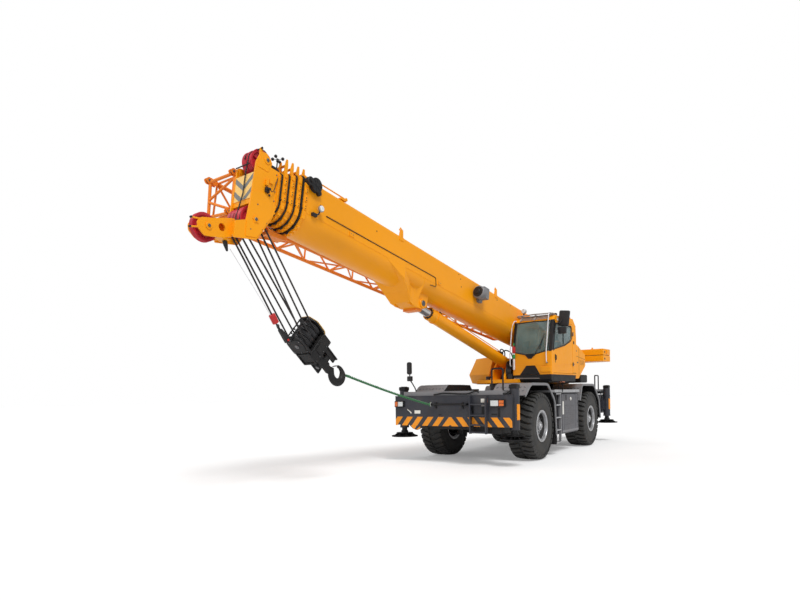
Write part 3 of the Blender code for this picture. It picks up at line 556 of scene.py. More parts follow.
def make_lens(name, colour):
    look = Look(name, colour, coat_weight=0.8)
    ribs = look.wave(38.0, "Y")
    look.into("Base Color", look.mix(ribs, scaled(look.colour, 0.75), scaled(look.colour, 1.25)))
    look.into("Roughness", look.span(ribs, 0.0, 1.0, 0.12, 0.3))
    look.bump(ribs, 0.002)
    return look.made


RUBBER = make_rubber()
RIM_SILVER = make_rim_paint()
CHROME = make_chrome()
STEEL = make_steel("bare_steel", (120, 120, 122))
DARK_STEEL = make_steel("dark_steel", (58, 58, 60), 0.5, 0.6)
ROPE = make_rope()
NYLON = make_nylon()
PLASTIC = make_plastic("black_plastic", (26, 26, 28))
HOSE = make_plastic("hose_rubber", (22, 22, 23), 0.62, 260.0)
SEAT_CLOTH = make_fabric("seat_cloth", (38, 39, 44))
WEBBING = make_fabric("green_webbing", (36, 112, 62))
GLASS = make_glass("cab_glass", (112, 142, 142), 0.52)
MIRROR = Look("mirror_glass", (200, 205, 210), rough=0.05, metal=1.0).made
LENS_ORANGE = make_lens("orange_lens", (236, 112, 22))
LENS_WHITE = make_lens("clear_lens", (222, 226, 226))
LENS_RED = make_lens("red_lens", (170, 20, 18))


def dress(name, material, edge=0.006):
    """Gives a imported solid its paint, and rounds its edges with modifiers."""
    node = NODES[name]
    node.data.materials.clear()
    node.data.materials.append(material)
    for polygon in node.data.polygons:
        polygon.material_index = 0
    node.data.shade_smooth()
    weld = node.modifiers.new("weld", "WELD")
    weld.merge_threshold = 0.0001
    planes = node.modifiers.new("planes", "DECIMATE")
    planes.decimate_type = "DISSOLVE"
    planes.angle_limit = math.radians(0.8)
    bevel = node.modifiers.new("edges", "BEVEL")
    bevel.width = edge
    bevel.segments = 2
    bevel.limit_method = "ANGLE"
    bevel.angle_limit = math.radians(32)
    bevel.harden_normals = True
    return node


# Floor, light and camera

def make_stage():
    mesh = bpy.data.meshes.new("floor")
    reach = 120
    mesh.from_pydata([(-reach, -reach, 0), (reach, -reach, 0), (reach, reach, 0), (-reach, reach, 0)], [],
                     [(0, 1, 2, 3)])
    floor = bpy.data.objects.new("floor", mesh)
    bpy.context.collection.objects.link(floor)
    look = Look("pale_floor", (232, 232, 232), rough=0.9)
    look.into("Base Color", look.mix(look.span(look.noise(0.4, 3.0), 0.3, 0.7), srgb(228, 228, 228),
                                     srgb(236, 236, 236)))
    look.set("Specular IOR Level", 0.05)
    rays = look.node("LightPath")
    seen = look.maths("MULTIPLY", rays.outputs["Is Camera Ray"], 0.22)
    look.set("Emission Color", (1, 1, 1, 1))
    look.into("Emission Strength", seen)
    mesh.materials.append(look.made)
    world = bpy.data.worlds.new("studio")
    bpy.context.scene.world = world
    world.use_nodes = True
    tree = world.node_tree
    back = tree.nodes["Background"]
    rays = tree.nodes.new("ShaderNodeLightPath")
    plain = tree.nodes.new("ShaderNodeMath")
    plain.operation = "MAXIMUM"
    tree.links.new(rays.outputs["Is Camera Ray"], plain.inputs[0])
    tree.links.new(rays.outputs["Is Transmission Ray"], plain.inputs[1])
    level = tree.nodes.new("ShaderNodeMapRange")
    level.inputs["To Min"].default_value = 0.48
    level.inputs["To Max"].default_value = 1.0
    tree.links.new(plain.outputs[0], level.inputs["Value"])
    tree.links.new(level.outputs[0], back.inputs["Strength"])
    back.inputs["Color"].default_value = (1, 1, 1, 1)
    for name, towards, strength, spread in (("key", (0.55, 0.75, 1.15), 1.98, 22),
                                            ("fill", (0.9, -0.5, 0.6), 0.5, 50)):
        lamp = bpy.data.lights.new(name, "SUN")
        lamp.energy = strength
        lamp.angle = math.radians(spread)
        sun = bpy.data.objects.new(name, lamp)
        bpy.context.collection.objects.link(sun)
        sun.rotation_mode = "QUATERNION"
        sun.rotation_quaternion = Vector(towards).to_track_quat("Z", "Y")


def make_camera():
    """The photograph's camera, solved from the crane; the frame is 800 by 600 pixels."""
    place = Vector((15.1334, 6.2736, 1.6253))
    yaw, pitch, roll = (math.radians(a) for a in (215.094, -0.253, -0.946))
    focal, middle = 567.89, (389.42, 396.52)
    wide, high = 800, 600
    ahead = Vector((math.cos(yaw) * math.cos(pitch), math.sin(yaw) * math.cos(pitch), math.sin(pitch)))
    right = ahead.cross(Vector((0, 0, 1))).normalized()
    up = right.cross(ahead)
    tilted_right = right * math.cos(roll) + up * math.sin(roll)
    tilted_up = up * math.cos(roll) - right * math.sin(roll)
    data = bpy.data.cameras.new("camera")
    data.sensor_width = 36
    data.lens = focal / wide * data.sensor_width
    data.shift_x = (wide / 2 - middle[0]) / wide
    data.shift_y = (middle[1] - high / 2) / wide
    data.clip_end = 500
    camera = bpy.data.objects.new("camera", data)
    bpy.context.collection.objects.link(camera)
    turn = Matrix((tilted_right, tilted_up, -ahead)).transposed().to_4x4()
    camera.matrix_world = CARRIER @ Matrix.Translation(place) @ turn
    bpy.context.scene.camera = camera


# Wheels

TYRE_LOW, TYRE_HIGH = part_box("tyre_front_left")
TYRE_R = (TYRE_HIGH.z - TYRE_LOW.z) / 2
TYRE_HALF = (TYRE_HIGH.y - TYRE_LOW.y) / 2
RIM_R = 0.381
LUGS = 34
LUG_DEPTH = 0.042
PITCH = math.tau / LUGS


def tyre_skin():
    """The carcass under the lugs, with the rings moulded on its sidewalls."""
    carcass = TYRE_R - LUG_DEPTH
    side = [(0.336, 0.250), (0.372, 0.266), (0.392, 0.290), (0.402, 0.291), (0.410, 0.284),
            (0.440, 0.293), (0.446, 0.297), (0.452, 0.294), (0.500, TYRE_HALF - 0.002),
            (0.540, TYRE_HALF - 0.001), (0.546, TYRE_HALF), (0.552, TYRE_HALF - 0.001),
            (0.610, TYRE_HALF - 0.006), (0.616, TYRE_HALF - 0.002), (0.622, TYRE_HALF - 0.007),
            (0.680, TYRE_HALF - 0.016), (0.720, TYRE_HALF - 0.028), (0.748, TYRE_HALF - 0.052),
            (carcass - 0.006, 0.20), (carcass, 0.10)]
    profile = [*side, *[(r, -y) for r, y in side[::-1]], (0.31, -0.22), (0.31, 0.22)]
    return lathe(profile, 96, "Y", ring=True)


def tyre_lug(turn, side):
    """One deep lug: from near the middle out over the shoulder and down the sidewall."""
    # y, top radius, base radius, turn of its middle in pitches, half width in pitches
    stations = [(0.030, 0.000, 0.06, 0.00, 0.22), (0.085, 0.001, 0.06, 0.05, 0.26),
                (0.150, 0.004, 0.06, 0.22, 0.30), (0.215, 0.009, 0.06, 0.34, 0.33),
                (0.268, 0.018, 0.07, 0.38, 0.34), (0.291, 0.036, 0.09, 0.39, 0.34),
                (0.302, 0.088, 0.10, 0.40, 0.30)]
    rings = []
    for y, drop, depth, lead, half in stations:
        centre = turn + lead * PITCH
        out = TYRE_R - drop
        base = TYRE_R - depth - 0.01
        corners = []
        for radius, way, spread in ((base, -1, 1.12), (out - 0.006, -1, 1.02), (out, -1, 0.90),
                                    (out, 1, 0.90), (out - 0.006, 1, 1.02), (base, 1, 1.12)):
            a = centre + way * half * spread * PITCH
            corners.append((radius * math.sin(a), side * y, radius * math.cos(a)))
        rings.append(corners)
    return loft(rings)


def tyre_shapes():
    shapes = [tyre_skin()]
    for k in range(LUGS):
        for side, offset in ((1, 0.0), (-1, 0.5)):
            shapes.append(tyre_lug((k + offset) * PITCH, side))
    return shapes


def rim_shapes():
    """Five-piece rim with its lock ring, a dished disc and a planetary hub."""
    barrel = lathe([(0.322, 0.225), (0.345, 0.262), (RIM_R - 0.008, 0.268), (RIM_R, 0.274),
                    (RIM_R, 0.286), (RIM_R - 0.010, 0.290), (0.350, 0.288), (0.343, 0.276),
                    (0.336, 0.284), (0.326, 0.284), (0.318, 0.262), (0.312, 0.150), (0.304, 0.060),
                    (0.300, 0.045), (0.285, 0.036), (0.285, 0.010), (0.318, 0.0), (0.322, -0.02),
                    (0.322, -0.262), (RIM_R, -0.268), (RIM_R, -0.290), (0.345, -0.288), (0.335, -0.262),
                    (0.335, 0.225)], 72, "Y", ring=True)
    disc = lathe([(0, 0.130), (0.21, 0.130), (0.235, 0.150), (0.290, 0.150), (0.304, 0.136),
                  (0.304, 0.100), (0, 0.100)], 72, "Y")
    hub = lathe([(0, 0.186), (0.052, 0.186), (0.058, 0.180), (0.064, 0.168), (0.098, 0.164),
                 (0.108, 0.156), (0.114, 0.120), (0.150, 0.112), (0.162, 0.102), (0.168, 0.060),
                 (0.198, 0.054), (0.206, 0.046), (0.206, 0.020), (0, 0.020)], 64, "Y")
    hub = shifted(hub, (0, 0.085, 0))
    nut_r = 0.262
    nuts = bolts(nut_r, 20, 0.014, 0.145, 0.176, axis="Y")
    studs = [drum(0.007, 0.15, 0.184, (nut_r * math.sin(math.tau * k / 20), 0,
                                       nut_r * math.cos(math.tau * k / 20)), "Y", 8) for k in range(20)]
    cover = bolts(0.133, 12, 0.009, 0.193, 0.209, axis="Y")
    cap = bolts(0.080, 6, 0.007, 0.245, 0.259, axis="Y", first=0.3)
    plug = [drum(0.016, 0.185, 0.213, (0.0, 0, -0.145), "Y", 6, 0.002)]
    weights = [turned(block((-0.030, 0.225, 0.306), (0.030, 0.262, 0.320), 0.003), 35, "Y")]
    holes = [drum(0.016, 0.120, 0.1515, (0.228 * math.sin(a), 0, 0.228 * math.cos(a)), "Y", 16)
             for a in (math.tau * (k + 0.5) / 10 for k in range(10))]
    return [barrel, disc, hub], [*nuts, *studs, *cover, *cap, *plug], weights, holes


def make_wheels():
    for corner in CORNERS:
        low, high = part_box("tyre_" + corner)
        place = Matrix.Translation((low + high) / 2)
        if corner.endswith("right"):
            place = place @ Matrix.Rotation(math.pi, 4, "Z")
        piece("tread_" + corner, "wheel_" + corner, place, (RUBBER, tyre_shapes()),
              replaces=["tyre_" + corner], slot="tyre_rubber")
        metal, heads, lead, holes = rim_shapes()
        valve = sweep([(0.10, 0.03, 0.27), (0.105, 0.10, 0.29), (0.105, 0.16, 0.295)], 0.006, 8)
        piece("wheel_disc_" + corner, "wheel_" + corner, place, (RIM_SILVER, metal),
              (STEEL, heads, valve), (DARK_STEEL, lead, holes), replaces=["rim_" + corner],
              slot="rim_paint")
        dress("knuckle_" + corner, FRAME_BLACK, 0.004)


# Boom

BOOM_HALF, BOOM_TOP, BOOM_SEAM = 0.37, 0.504, -0.08


def boom_outline(inset=0.0, steps=20):
    """Section square to the boom, (y, v): flat top and sides with small corners, round lower shell."""
    half = BOOM_HALF - inset
    top = BOOM_TOP - inset
    seam = BOOM_SEAM
    depth = 0.32 - inset
    corner = 0.07
    points = [(half, seam), (half, top - corner)]
    points += arc((half - corner, top - corner), corner, 0, 90, 4)[1:]
    points += arc((corner - half, top - corner), corner, 90, 180, 4)
    points += [(-half, seam)]
    for k in range(1, steps):
        turn = math.pi * k / steps
        points.append((-half * math.cos(turn), seam - depth * math.sin(turn)))
    return points


BASE_LOW, BASE_FRONT = -0.35, 10.20
COLLAR_L = 0.115
# Share of a collar's length left to the gap in front of its band, which a black band of painted shade fills.
SHADED_GAP_SHARE = 0.32
COLLAR_STEP = 0.12
NEST_STEP = 0.034


def tube_piece(inset, low, high, wall=0.012):
    return pipe(boom_outline(inset), boom_outline(inset + wall), low, high)


def collar(inset, low, high, fin):
    """Reinforced end of a section: a thick band, a rolled lip, fins on the top and blocks on its sides."""
    high -= SHADED_GAP_SHARE * (high - low)
    shapes = [tube_piece(inset - 0.024, low, high, 0.034),
              tube_piece(inset - 0.029, low + 0.004, low + 0.020, 0.03),
              tube_piece(inset - 0.029, high - 0.016, high - 0.002, 0.03)]
    top = BOOM_TOP - inset
    for y in (-0.27, -0.12, 0.12, 0.27):
        shapes.append(prism([(low + 0.006, top), (high - 0.006, top),
                             (high - 0.012, BOOM_TOP + fin * 0.5), (high - 0.028, BOOM_TOP + fin * 1.15),
                             (low + 0.022, BOOM_TOP + fin * 1.15), (low + 0.010, BOOM_TOP + fin * 0.5)],
                            y - 0.012, y + 0.012, "Y", 0.004))
    shapes.append(block((low + 0.02, -0.27, BOOM_TOP + fin - 0.09),
                        (high - 0.02, 0.27, BOOM_TOP + fin - 0.065), 0.004))
    half = BOOM_HALF - inset + 0.024
    for v in (-0.02, 0.12, 0.26, 0.38):
        shapes += both(block((low + 0.014, half - 0.01, v - 0.040),
                             (high - 0.010, half + 0.016, v + 0.040), 0.006))
    for k in range(5):
        turn = math.radians(18 + 26 * k)
        y, v = (0.385 - inset) * math.cos(turn), BOOM_SEAM - (0.335 - inset) * math.sin(turn)
        shapes += both(block((low + 0.014, y - 0.028, v - 0.028), (high - 0.010, y + 0.028, v + 0.028),
                             0.006))
    return shapes


def shaded_collar_gap(inset, low, high):
    """The gap in front of a collar's band, darkened by a black band that is painted shade, with the wear
    pads and their hoses.
    """
    shapes = [pipe(boom_outline(inset - 0.008), boom_outline(inset + 0.010),
                   high - SHADED_GAP_SHARE * (high - low) - 0.004, high - 0.002)]
    for k in range(7):
        turn = math.radians(-20 + 24 * k)
        y, v = (0.385 - inset) * math.cos(turn), -0.02 - (0.40 - inset) * math.sin(turn)
        shapes += both(drum(0.014, high - 0.040, high - 0.006, (0, y, v), "X", 8, 0.002))
    return shapes


def collar_bolts(inset, low, high):
    half = BOOM_HALF - inset + 0.036
    middle = low + 0.3 * (high - low)
    shapes = []
    for v in (-0.04, 0.0, 0.10, 0.14, 0.24, 0.28):
        shapes += both(drum(0.010, half - 0.004, half + 0.008, (middle, 0, v), "Y", 6, 0.002))
    return shapes


def make_boom():
    low, front = BASE_LOW, BASE_FRONT
    shell = tube_piece(0, low, front - COLLAR_L + 0.01)
    rear = [prism(boom_outline(0.004), low + 0.02, low + 0.035, "X")]
    seams = both(sweep([(low + 0.02, 0.370, -0.078), (front - 0.14, 0.370, -0.078)], 0.005, 6))
    side_pipe = both(sweep(rounded([(9.62, 0.376, 0.045), (6.27, 0.376, 0.050), (6.23, 0.376, -0.14),
                                    (6.45, 0.376, -0.17)], 0.04), 0.008, 8))
    doubler = both(prism(smooth_outline([(-0.30, -0.30), (0.42, -0.30), (0.95, 0.0), (0.42, 0.30),
                                         (-0.30, 0.32)], 0.10), 0.366, 0.384, "Y", 0.003))
    boss = both(drum(0.16, 0.36, 0.405, (0, 0, 0), "Y", 40, 0.008))
    pin = both(drum(0.076, 0.36, 0.498, (0, 0, 0), "Y", 36, 0.006))
    plates = both(prism(smooth_outline([(6.24, -0.34), (6.30, -0.62), (6.45, -0.67), (6.90, -0.70),
                                        (7.20, -0.34)], 0.07), 0.165, 0.205, "Y", 0.004))
    rim = soft(prism([(6.30, -0.50), (6.42, -0.72), (6.62, -0.74), (6.62, -0.62)], -0.17, 0.17, "Y"), 0.008)
    # u, then half width and height of the skin's four corners on each side
    stations = [(8.19, (0.371, 0.010), (0.371, 0.0), (0.371, -0.006), (0.350, -0.012)),
                (7.34, (0.374, 0.020), (0.374, -0.16), (0.374, -0.31), (0.345, -0.335)),
                (7.12, (0.374, 0.020), (0.310, -0.20), (0.325, -0.40), (0.315, -0.48)),
                (6.95, (0.374, 0.000), (0.240, -0.28), (0.255, -0.54), (0.255, -0.65)),
                (6.80, (0.374, -0.05), (0.240, -0.28), (0.225, -0.53), (0.225, -0.68)),
                (6.62, (0.374, -0.12), (0.352, -0.20), (0.215, -0.50), (0.210, -0.69))]
    strut = soft(loft([[(u, y, v) for y, v in corners] + [(u, -y, v) for y, v in corners[::-1]]
                       for u, *corners in stations]), 0.008, 2, 9)
    eye = both(drum(0.10, 0.198, 0.232, ROD_EYE, "Y", 40, 0.006))
    cap = both(drum(0.060, 0.225, 0.250, ROD_EYE, "Y", 32, 0.006))
    lugs = []
    for u in (3.55, 7.54):
        outline = [(u - 0.06, 0.46), (u + 0.06, 0.46), *arc((u, 0.595), 0.040, 0, 180, 8)]
        lugs += both(prism(outline, 0.335, 0.368, "Y", 0.003),
                     block((u - 0.07, 0.366, 0.40), (u + 0.07, 0.382, 0.47), 0.004))
        lugs += both(sweep([(u - 0.03, 0.352, 0.60), (u + 0.04, 0.352, 0.655), (u + 0.07, 0.352, 0.60)],
                           0.012, 8))
    dots = []
    for u, v in ((5.36, 0.42), (5.27, 0.34), (5.22, 0.17), (3.49, 0.36), (2.75, 0.42), (2.10, 0.20),
                 (8.30, 0.30)):
        dots += both(drum(0.012, 0.368, 0.378, (u, 0, v), "Y", 12, 0.003))
    collars = collar(0, front - COLLAR_L, front + 0.001, 0.14)
    piece("boom_base_shell", "boom_base", BOOM,
          (ORANGE, shell, rear, seams, doubler, boss, plates, strut, eye, lugs, collars),
          (JIB_ORANGE, rim), (STEEL, pin, cap),
          (DARK_STEEL, dots, side_pipe, collar_bolts(0, front - COLLAR_L, front)),
          (HOSE, shaded_collar_gap(0, front - COLLAR_L, front)), replaces=["boom_base_section"],
          slot="orange_paint")
    for n in (2, 3, 4):
        inset = NEST_STEP * (n - 1)
        start = front + 0.006 + COLLAR_STEP * (n - 2)
        tube = tube_piece(inset, 0.25 + 0.10 * n, start + COLLAR_L)
        pads = [prism(boom_outline(inset + 0.0135), 0.32 + 0.10 * n, 0.335 + 0.10 * n, "X")]
        piece(f"boom_shell_{n}", f"boom_{n}", BOOM,
              (ORANGE, tube, pads, collar(inset, start, start + COLLAR_L, 0.13)),
              (DARK_STEEL, collar_bolts(inset, start, start + COLLAR_L)),
              (HOSE, shaded_collar_gap(inset, start, start + COLLAR_L)), replaces=[f"boom_section_{n}"],
              slot="orange_paint")


def between(outer, inner, low, high, axis="Y", edge=0.0):
    """A plate with an opening; both outlines are seen whole from the opening's middle."""
    middle = Vector((sum(a for a, _ in inner) / len(inner), sum(b for _, b in inner) / len(inner)))

    def turns(line):
        return [math.atan2(b - middle.y, a - middle.x) for a, b in line]

    def reach(line, turn):
        ahead = Vector((math.cos(turn), math.sin(turn)))
        best = None
        for i in range(len(line)):
            start, end = Vector(line[i - 1]) - middle, Vector(line[i]) - middle
            along = end - start
            cross = ahead.x * along.y - ahead.y * along.x
            if abs(cross) < 1e-9:
                continue
            distance = (start.x * along.y - start.y * along.x) / cross
            share = (start.x * ahead.y - start.y * ahead.x) / cross
            if distance > 0 and -1e-6 <= share <= 1 + 1e-6 and (best is None or distance > best):
                best = distance
        point = middle + ahead * best
        return (point.x, point.y)

    angles = []
    for turn in sorted(turns(outer) + turns(inner)):
        if not angles or turn - angles[-1] > 1e-4:
            angles.append(turn)
    shape = pipe([reach(outer, t) for t in angles], [reach(inner, t) for t in angles], low, high, axis)
    return soft(shape, edge, angle=40) if edge else shape


def sheave(radius, half, middle):
    """One grooved wheel with a dished web and a thick hub."""
    side = [(0.048, half), (0.078, half), (0.086, half * 0.60), (radius * 0.70, half * 0.42),
            (radius * 0.80, half * 0.90), (radius - 0.004, half), (radius, half * 0.86),
            (radius - 0.020, half * 0.36)]
    profile = [*side, (radius - 0.030, 0), *[(r, -h) for r, h in side[::-1]]]
    return lathe(profile, 56, "Y", (0, middle, 0), ring=True)


def make_sheaves():
    for name, count, half, radius in (("main_sheaves", 4, 0.17, 0.22), ("top_sheaves", 2, 0.12, 0.21),
                                      ("nose_sheave", 1, 0.045, 0.21)):
        pitch = 2 * half / count
        wheels = [sheave(radius, pitch * 0.46, pitch * (n + 0.5) - half) for n in range(count)]
        ribs = []
        for n in range(count):
            for k in range(6):
                rib = block((-0.006, pitch * (n + 0.06) - half, 0.080),
                            (0.006, pitch * (n + 0.94) - half, radius * 0.78))
                ribs.append(turned(rib, 60 * k + 15 * n, "Y"))
        bearing = ring(0.050, 0.036, -half, half, axis="Y")
        piece(name + "_red", name, upright(joint_at(name + "_spin"), BOOM_ALONG), (NYLON, wheels, ribs),
              (STEEL, bearing), replaces=[name], slot="red_nylon")


HEAD_Y = 0.245
ROPE_ON_SHEAVE = 0.196


def around(axle, degrees, y, radius=ROPE_ON_SHEAVE):
    """Point of a rope where it lies on a sheave, at an angle from the boom's direction."""
    turn = math.radians(degrees)
    return (axle[0] + radius * math.cos(turn), y, axle[2] + radius * math.sin(turn))


def star(centre, inner, outer, count, low, high):
    points = []
    for k in range(count * 2):
        turn = math.pi * k / count
        radius = outer if k % 2 == 0 else inner
        points.append((centre[0] + radius * math.cos(turn), centre[1] + radius * math.sin(turn)))
    return prism(smooth_outline(points, 0.012), low, high, "Y", 0.002)


def make_head():
    inset = NEST_STEP * 4
    low = BASE_FRONT + 0.006 + COLLAR_STEP * 3
    tube = tube_piece(inset, 0.75, 10.60)
    outline = [(low, -0.16), (low, 0.40), (10.76, 0.40), (10.73, 0.47), (10.86, 0.585), (10.965, 0.555),
               (11.035, 0.37), (11.06, -0.28), (11.09, -0.585), (11.27, -0.665), (11.27, -0.925),
               (10.86, -0.815), (10.62, -0.38)]
    plates = [prism(smooth_outline(outline, 0.03), HEAD_Y - 0.030, HEAD_Y - 0.004, "Y", 0.003)]
    far = [(10.83, 0.41), (10.98, 0.40)]
    plates.append(prism(smooth_outline(outline[:2] + far + outline[6:], 0.03), 0.004 - HEAD_Y,
                        0.030 - HEAD_Y, "Y", 0.003))
    lower = [(11.045, -0.10), (10.66, -0.02), (10.64, -0.36), (10.87, -0.785), (11.075, -0.835),
             (11.085, -0.60)]
    plates += both(prism(smooth_outline(lower, 0.02), HEAD_Y - 0.006, HEAD_Y + 0.006, "Y", 0.003))
    upper = [(11.015, 0.30), (10.95, 0.53), (10.87, 0.55), (10.77, 0.45), (10.79, 0.30)]
    plates.append(prism(smooth_outline(upper, 0.03), HEAD_Y - 0.006, HEAD_Y + 0.003, "Y", 0.002))
    within = HEAD_Y - 0.012
    inside = [block((low + 0.001, -within, 0.362), (10.615, within, 0.394), 0.003),
              block((11.010, -within, -0.27), (11.028, within, 0.21), 0.003),
              block((low + 0.001, -within, -0.287), (11.03, within, -0.262), 0.003),
              block((11.19, -within, -0.87), (11.25, within, -0.66), 0.006),
              block((10.66, -within, -0.08), (10.70, within, 0.36), 0.003)]
    inside += both(block((10.60, within - 0.05, -0.26), (11.01, within - 0.04, 0.36), 0.002))
    nose = [(11.18, -0.605), (11.24, -0.60), (11.55, -0.725), (11.75, -0.79), (11.80, -0.86),
            (11.78, -0.95), (11.66, -1.03), (11.40, -0.965), (11.18, -0.865)]
    oval = arc((11.40, -0.805), 0.058, 0, 345, 23)
    arms = both(between(smooth_outline(nose, 0.03), oval, 0.100, 0.126, "Y", 0.002))
    arms += both(block((11.20, 0.126, -0.84), (11.225, 0.135, -0.63), 0.002))
    arms += [block((11.22, -0.10, -0.665), (11.36, 0.10, -0.650), 0.002),
             block((11.22, -0.10, -0.93), (11.38, 0.10, -0.915), 0.002)]
    forks, eyes = [], []
    for start, end in (((11.66, -0.80), (11.90, -0.85)), ((11.70, -0.915), (11.90, -0.988))):
        forks.append(sweep([(start[0], 0.115, start[1]), (end[0], 0.115, end[1])], 0.013, 8))
        eyes.append(drum(0.016, 0.100, 0.135, (end[0], 0, end[1]), "Y", 12, 0.002))
    lugs = [prism(smooth_outline([(10.905, 0.54), (10.975, 0.52), (10.975, 0.62), (10.955, 0.645),
                                  (10.93, 0.62)], 0.012), 0.20, 0.222, "Y", 0.002)]
    guard = [drum(0.011, 0.12, 0.245, (10.953, 0, 0.622), "Y", 12),
             drum(0.017, 0.225, 0.245, (10.953, 0, 0.622), "Y", 12, 0.003),
             drum(0.010, -0.22, 0.22, (11.19, 0, -0.62), "Y", 12),
             drum(0.010, -0.22, 0.10, (11.055, 0, 0.36), "Y", 12)]
    retainers = both(star((10.93, -0.52), 0.040, 0.072, 5, HEAD_Y + 0.004, HEAD_Y + 0.018),
                     drum(0.062, HEAD_Y - 0.002, HEAD_Y + 0.014, TOP_AXLE, "Y", 32, 0.004),
                     drum(0.052, 0.124, 0.142, NOSE_AXLE, "Y", 32, 0.004))
    heads = both(drum(0.026, HEAD_Y, HEAD_Y + 0.030, LOWER_AXLE, "Y", 24, 0.004),
                 drum(0.028, HEAD_Y, HEAD_Y + 0.026, TOP_AXLE, "Y", 24, 0.004),
                 drum(0.024, 0.13, 0.156, NOSE_AXLE, "Y", 24, 0.004),
                 drum(0.012, HEAD_Y, HEAD_Y + 0.012, (10.925, 0, -0.28), "Y", 6, 0.002),
                 drum(0.010, HEAD_Y, HEAD_Y + 0.012, (11.00, 0, -0.70), "Y", 6, 0.002))
    for u, v in ((10.63, -0.10), (10.63, 0.05), (10.63, 0.20), (10.63, 0.33), (10.72, -0.50),
                 (10.79, -0.63)):
        heads += both(drum(0.011, HEAD_Y - 0.005, HEAD_Y + 0.006, (u, 0, v), "Y", 6, 0.002))
    axles = [drum(0.035, -0.24, 0.24, LOWER_AXLE, "Y", 24), drum(0.035, -0.24, 0.24, TOP_AXLE, "Y", 24),
             drum(0.035, -0.13, 0.13, NOSE_AXLE, "Y", 24)]
    face = [block((11.028, -0.216, -0.205), (11.037, 0.216, 0.205), 0.002)]
    marks = [prism([(-0.214, 0.11), (0, -0.06), (0.214, 0.11), (0.214, 0.195), (0, 0.025),
                    (-0.214, 0.195)], 11.036, 11.0385, "X")]
    marks += both(prism([(0, -0.185), (0.214, -0.015), (0.214, -0.10), (0.088, -0.202), (0, -0.202)],
                        11.036, 11.0385, "X"))
    boxes = [block((10.76, HEAD_Y - 0.002, -0.035), (10.83, HEAD_Y + 0.045, 0.045), 0.006),
             drum(0.022, HEAD_Y + 0.04, HEAD_Y + 0.085, (10.79, 0, 0.01), "Y", 16, 0.004),
             block((10.72, HEAD_Y - 0.002, -0.07), (10.75, HEAD_Y + 0.02, -0.04), 0.003)]
    tabs = [block((10.79, HEAD_Y - 0.002, 0.07), (10.835, HEAD_Y + 0.04, 0.16), 0.005),
            block((10.70, HEAD_Y - 0.002, 0.14), (10.76, HEAD_Y + 0.02, 0.19), 0.004)]
    hoist = [(10.70, 0.03, 0.635), *[around(TOP_AXLE, a, 0.03) for a in range(130, -20, -15)],
             (11.052, 0.03, 0.25), (11.055, 0.03, -0.10), (11.10, 0.03, -0.36),
             *[around(LOWER_AXLE, a, 0.03, 0.20) for a in range(25, -40, -15)]]
    ropes = [sweep(hoist, 0.010, 8)]
    for y in (-0.1275, -0.0425, 0.0425, 0.1275):
        ropes.append(sweep([around(LOWER_AXLE, a, y) for a in range(-42, 223, 12)], 0.010, 8))
    top_back = [(10.60, -0.06, 0.665), *[around(TOP_AXLE, a, -0.06) for a in range(100, 0, -12)]]
    ropes.append(sweep(top_back, 0.010, 8))
    mast = [sweep([(10.60, 0.18, 0.39), (10.60, 0.18, 0.60)], 0.010, 10),
            drum(0.020, 0.585, 0.635, (10.60, 0.18, 0), "Z", 16, 0.003),
            block((10.57, 0.13, 0.392), (10.66, 0.22, 0.44), 0.006),
            block((10.63, 0.15, 0.43), (10.72, 0.21, 0.47), 0.008)]
    for k in range(4):
        turn = math.tau * k / 4 + 0.5
        end = (10.60 + 0.085 * math.cos(turn), 0.18 + 0.085 * math.sin(turn), 0.632)
        mast.append(sweep([(10.60, 0.18, 0.625), end], 0.004, 6))
        cup = bmesh.new()
        bmesh.ops.create_icosphere(cup, subdivisions=2, radius=0.027)
        bmesh.ops.translate(cup, vec=end, verts=cup.verts)
        mast.append(cup)
    wires = [sweep(curved([(10.94, 0.235, 0.60), (10.86, 0.23, 0.58), (10.74, 0.19, 0.50),
                           (10.66, 0.18, 0.45)]), 0.006, 6),
             sweep(curved([(10.79, 0.32, 0.01), (10.72, 0.30, 0.00), (10.66, 0.27, 0.10),
                           (10.60, 0.24, 0.30)]), 0.007, 6)]
    socket = lathe([(0, 0.16), (0.016, 0.15), (0.034, 0.06), (0.034, 0), (0, 0)], 20)
    socket = shifted(turned(socket, 205, "Y"), (11.25, 0, -0.93))
    piece("head_plates", "boom_head", BOOM,
          (ORANGE, tube, plates, inside, arms, forks, lugs, retainers, tabs,
           collar(inset, low, low + 0.05, 0.06)[:3]), (CREAM, face), (CHEVRON_GREY, marks),
          (STEEL, axles, heads), (DARK_STEEL, guard, eyes), (PLASTIC, boxes, mast, wires, socket),
          (ROPE, ropes), replaces=["boom_head_section"], slot="orange_paint")


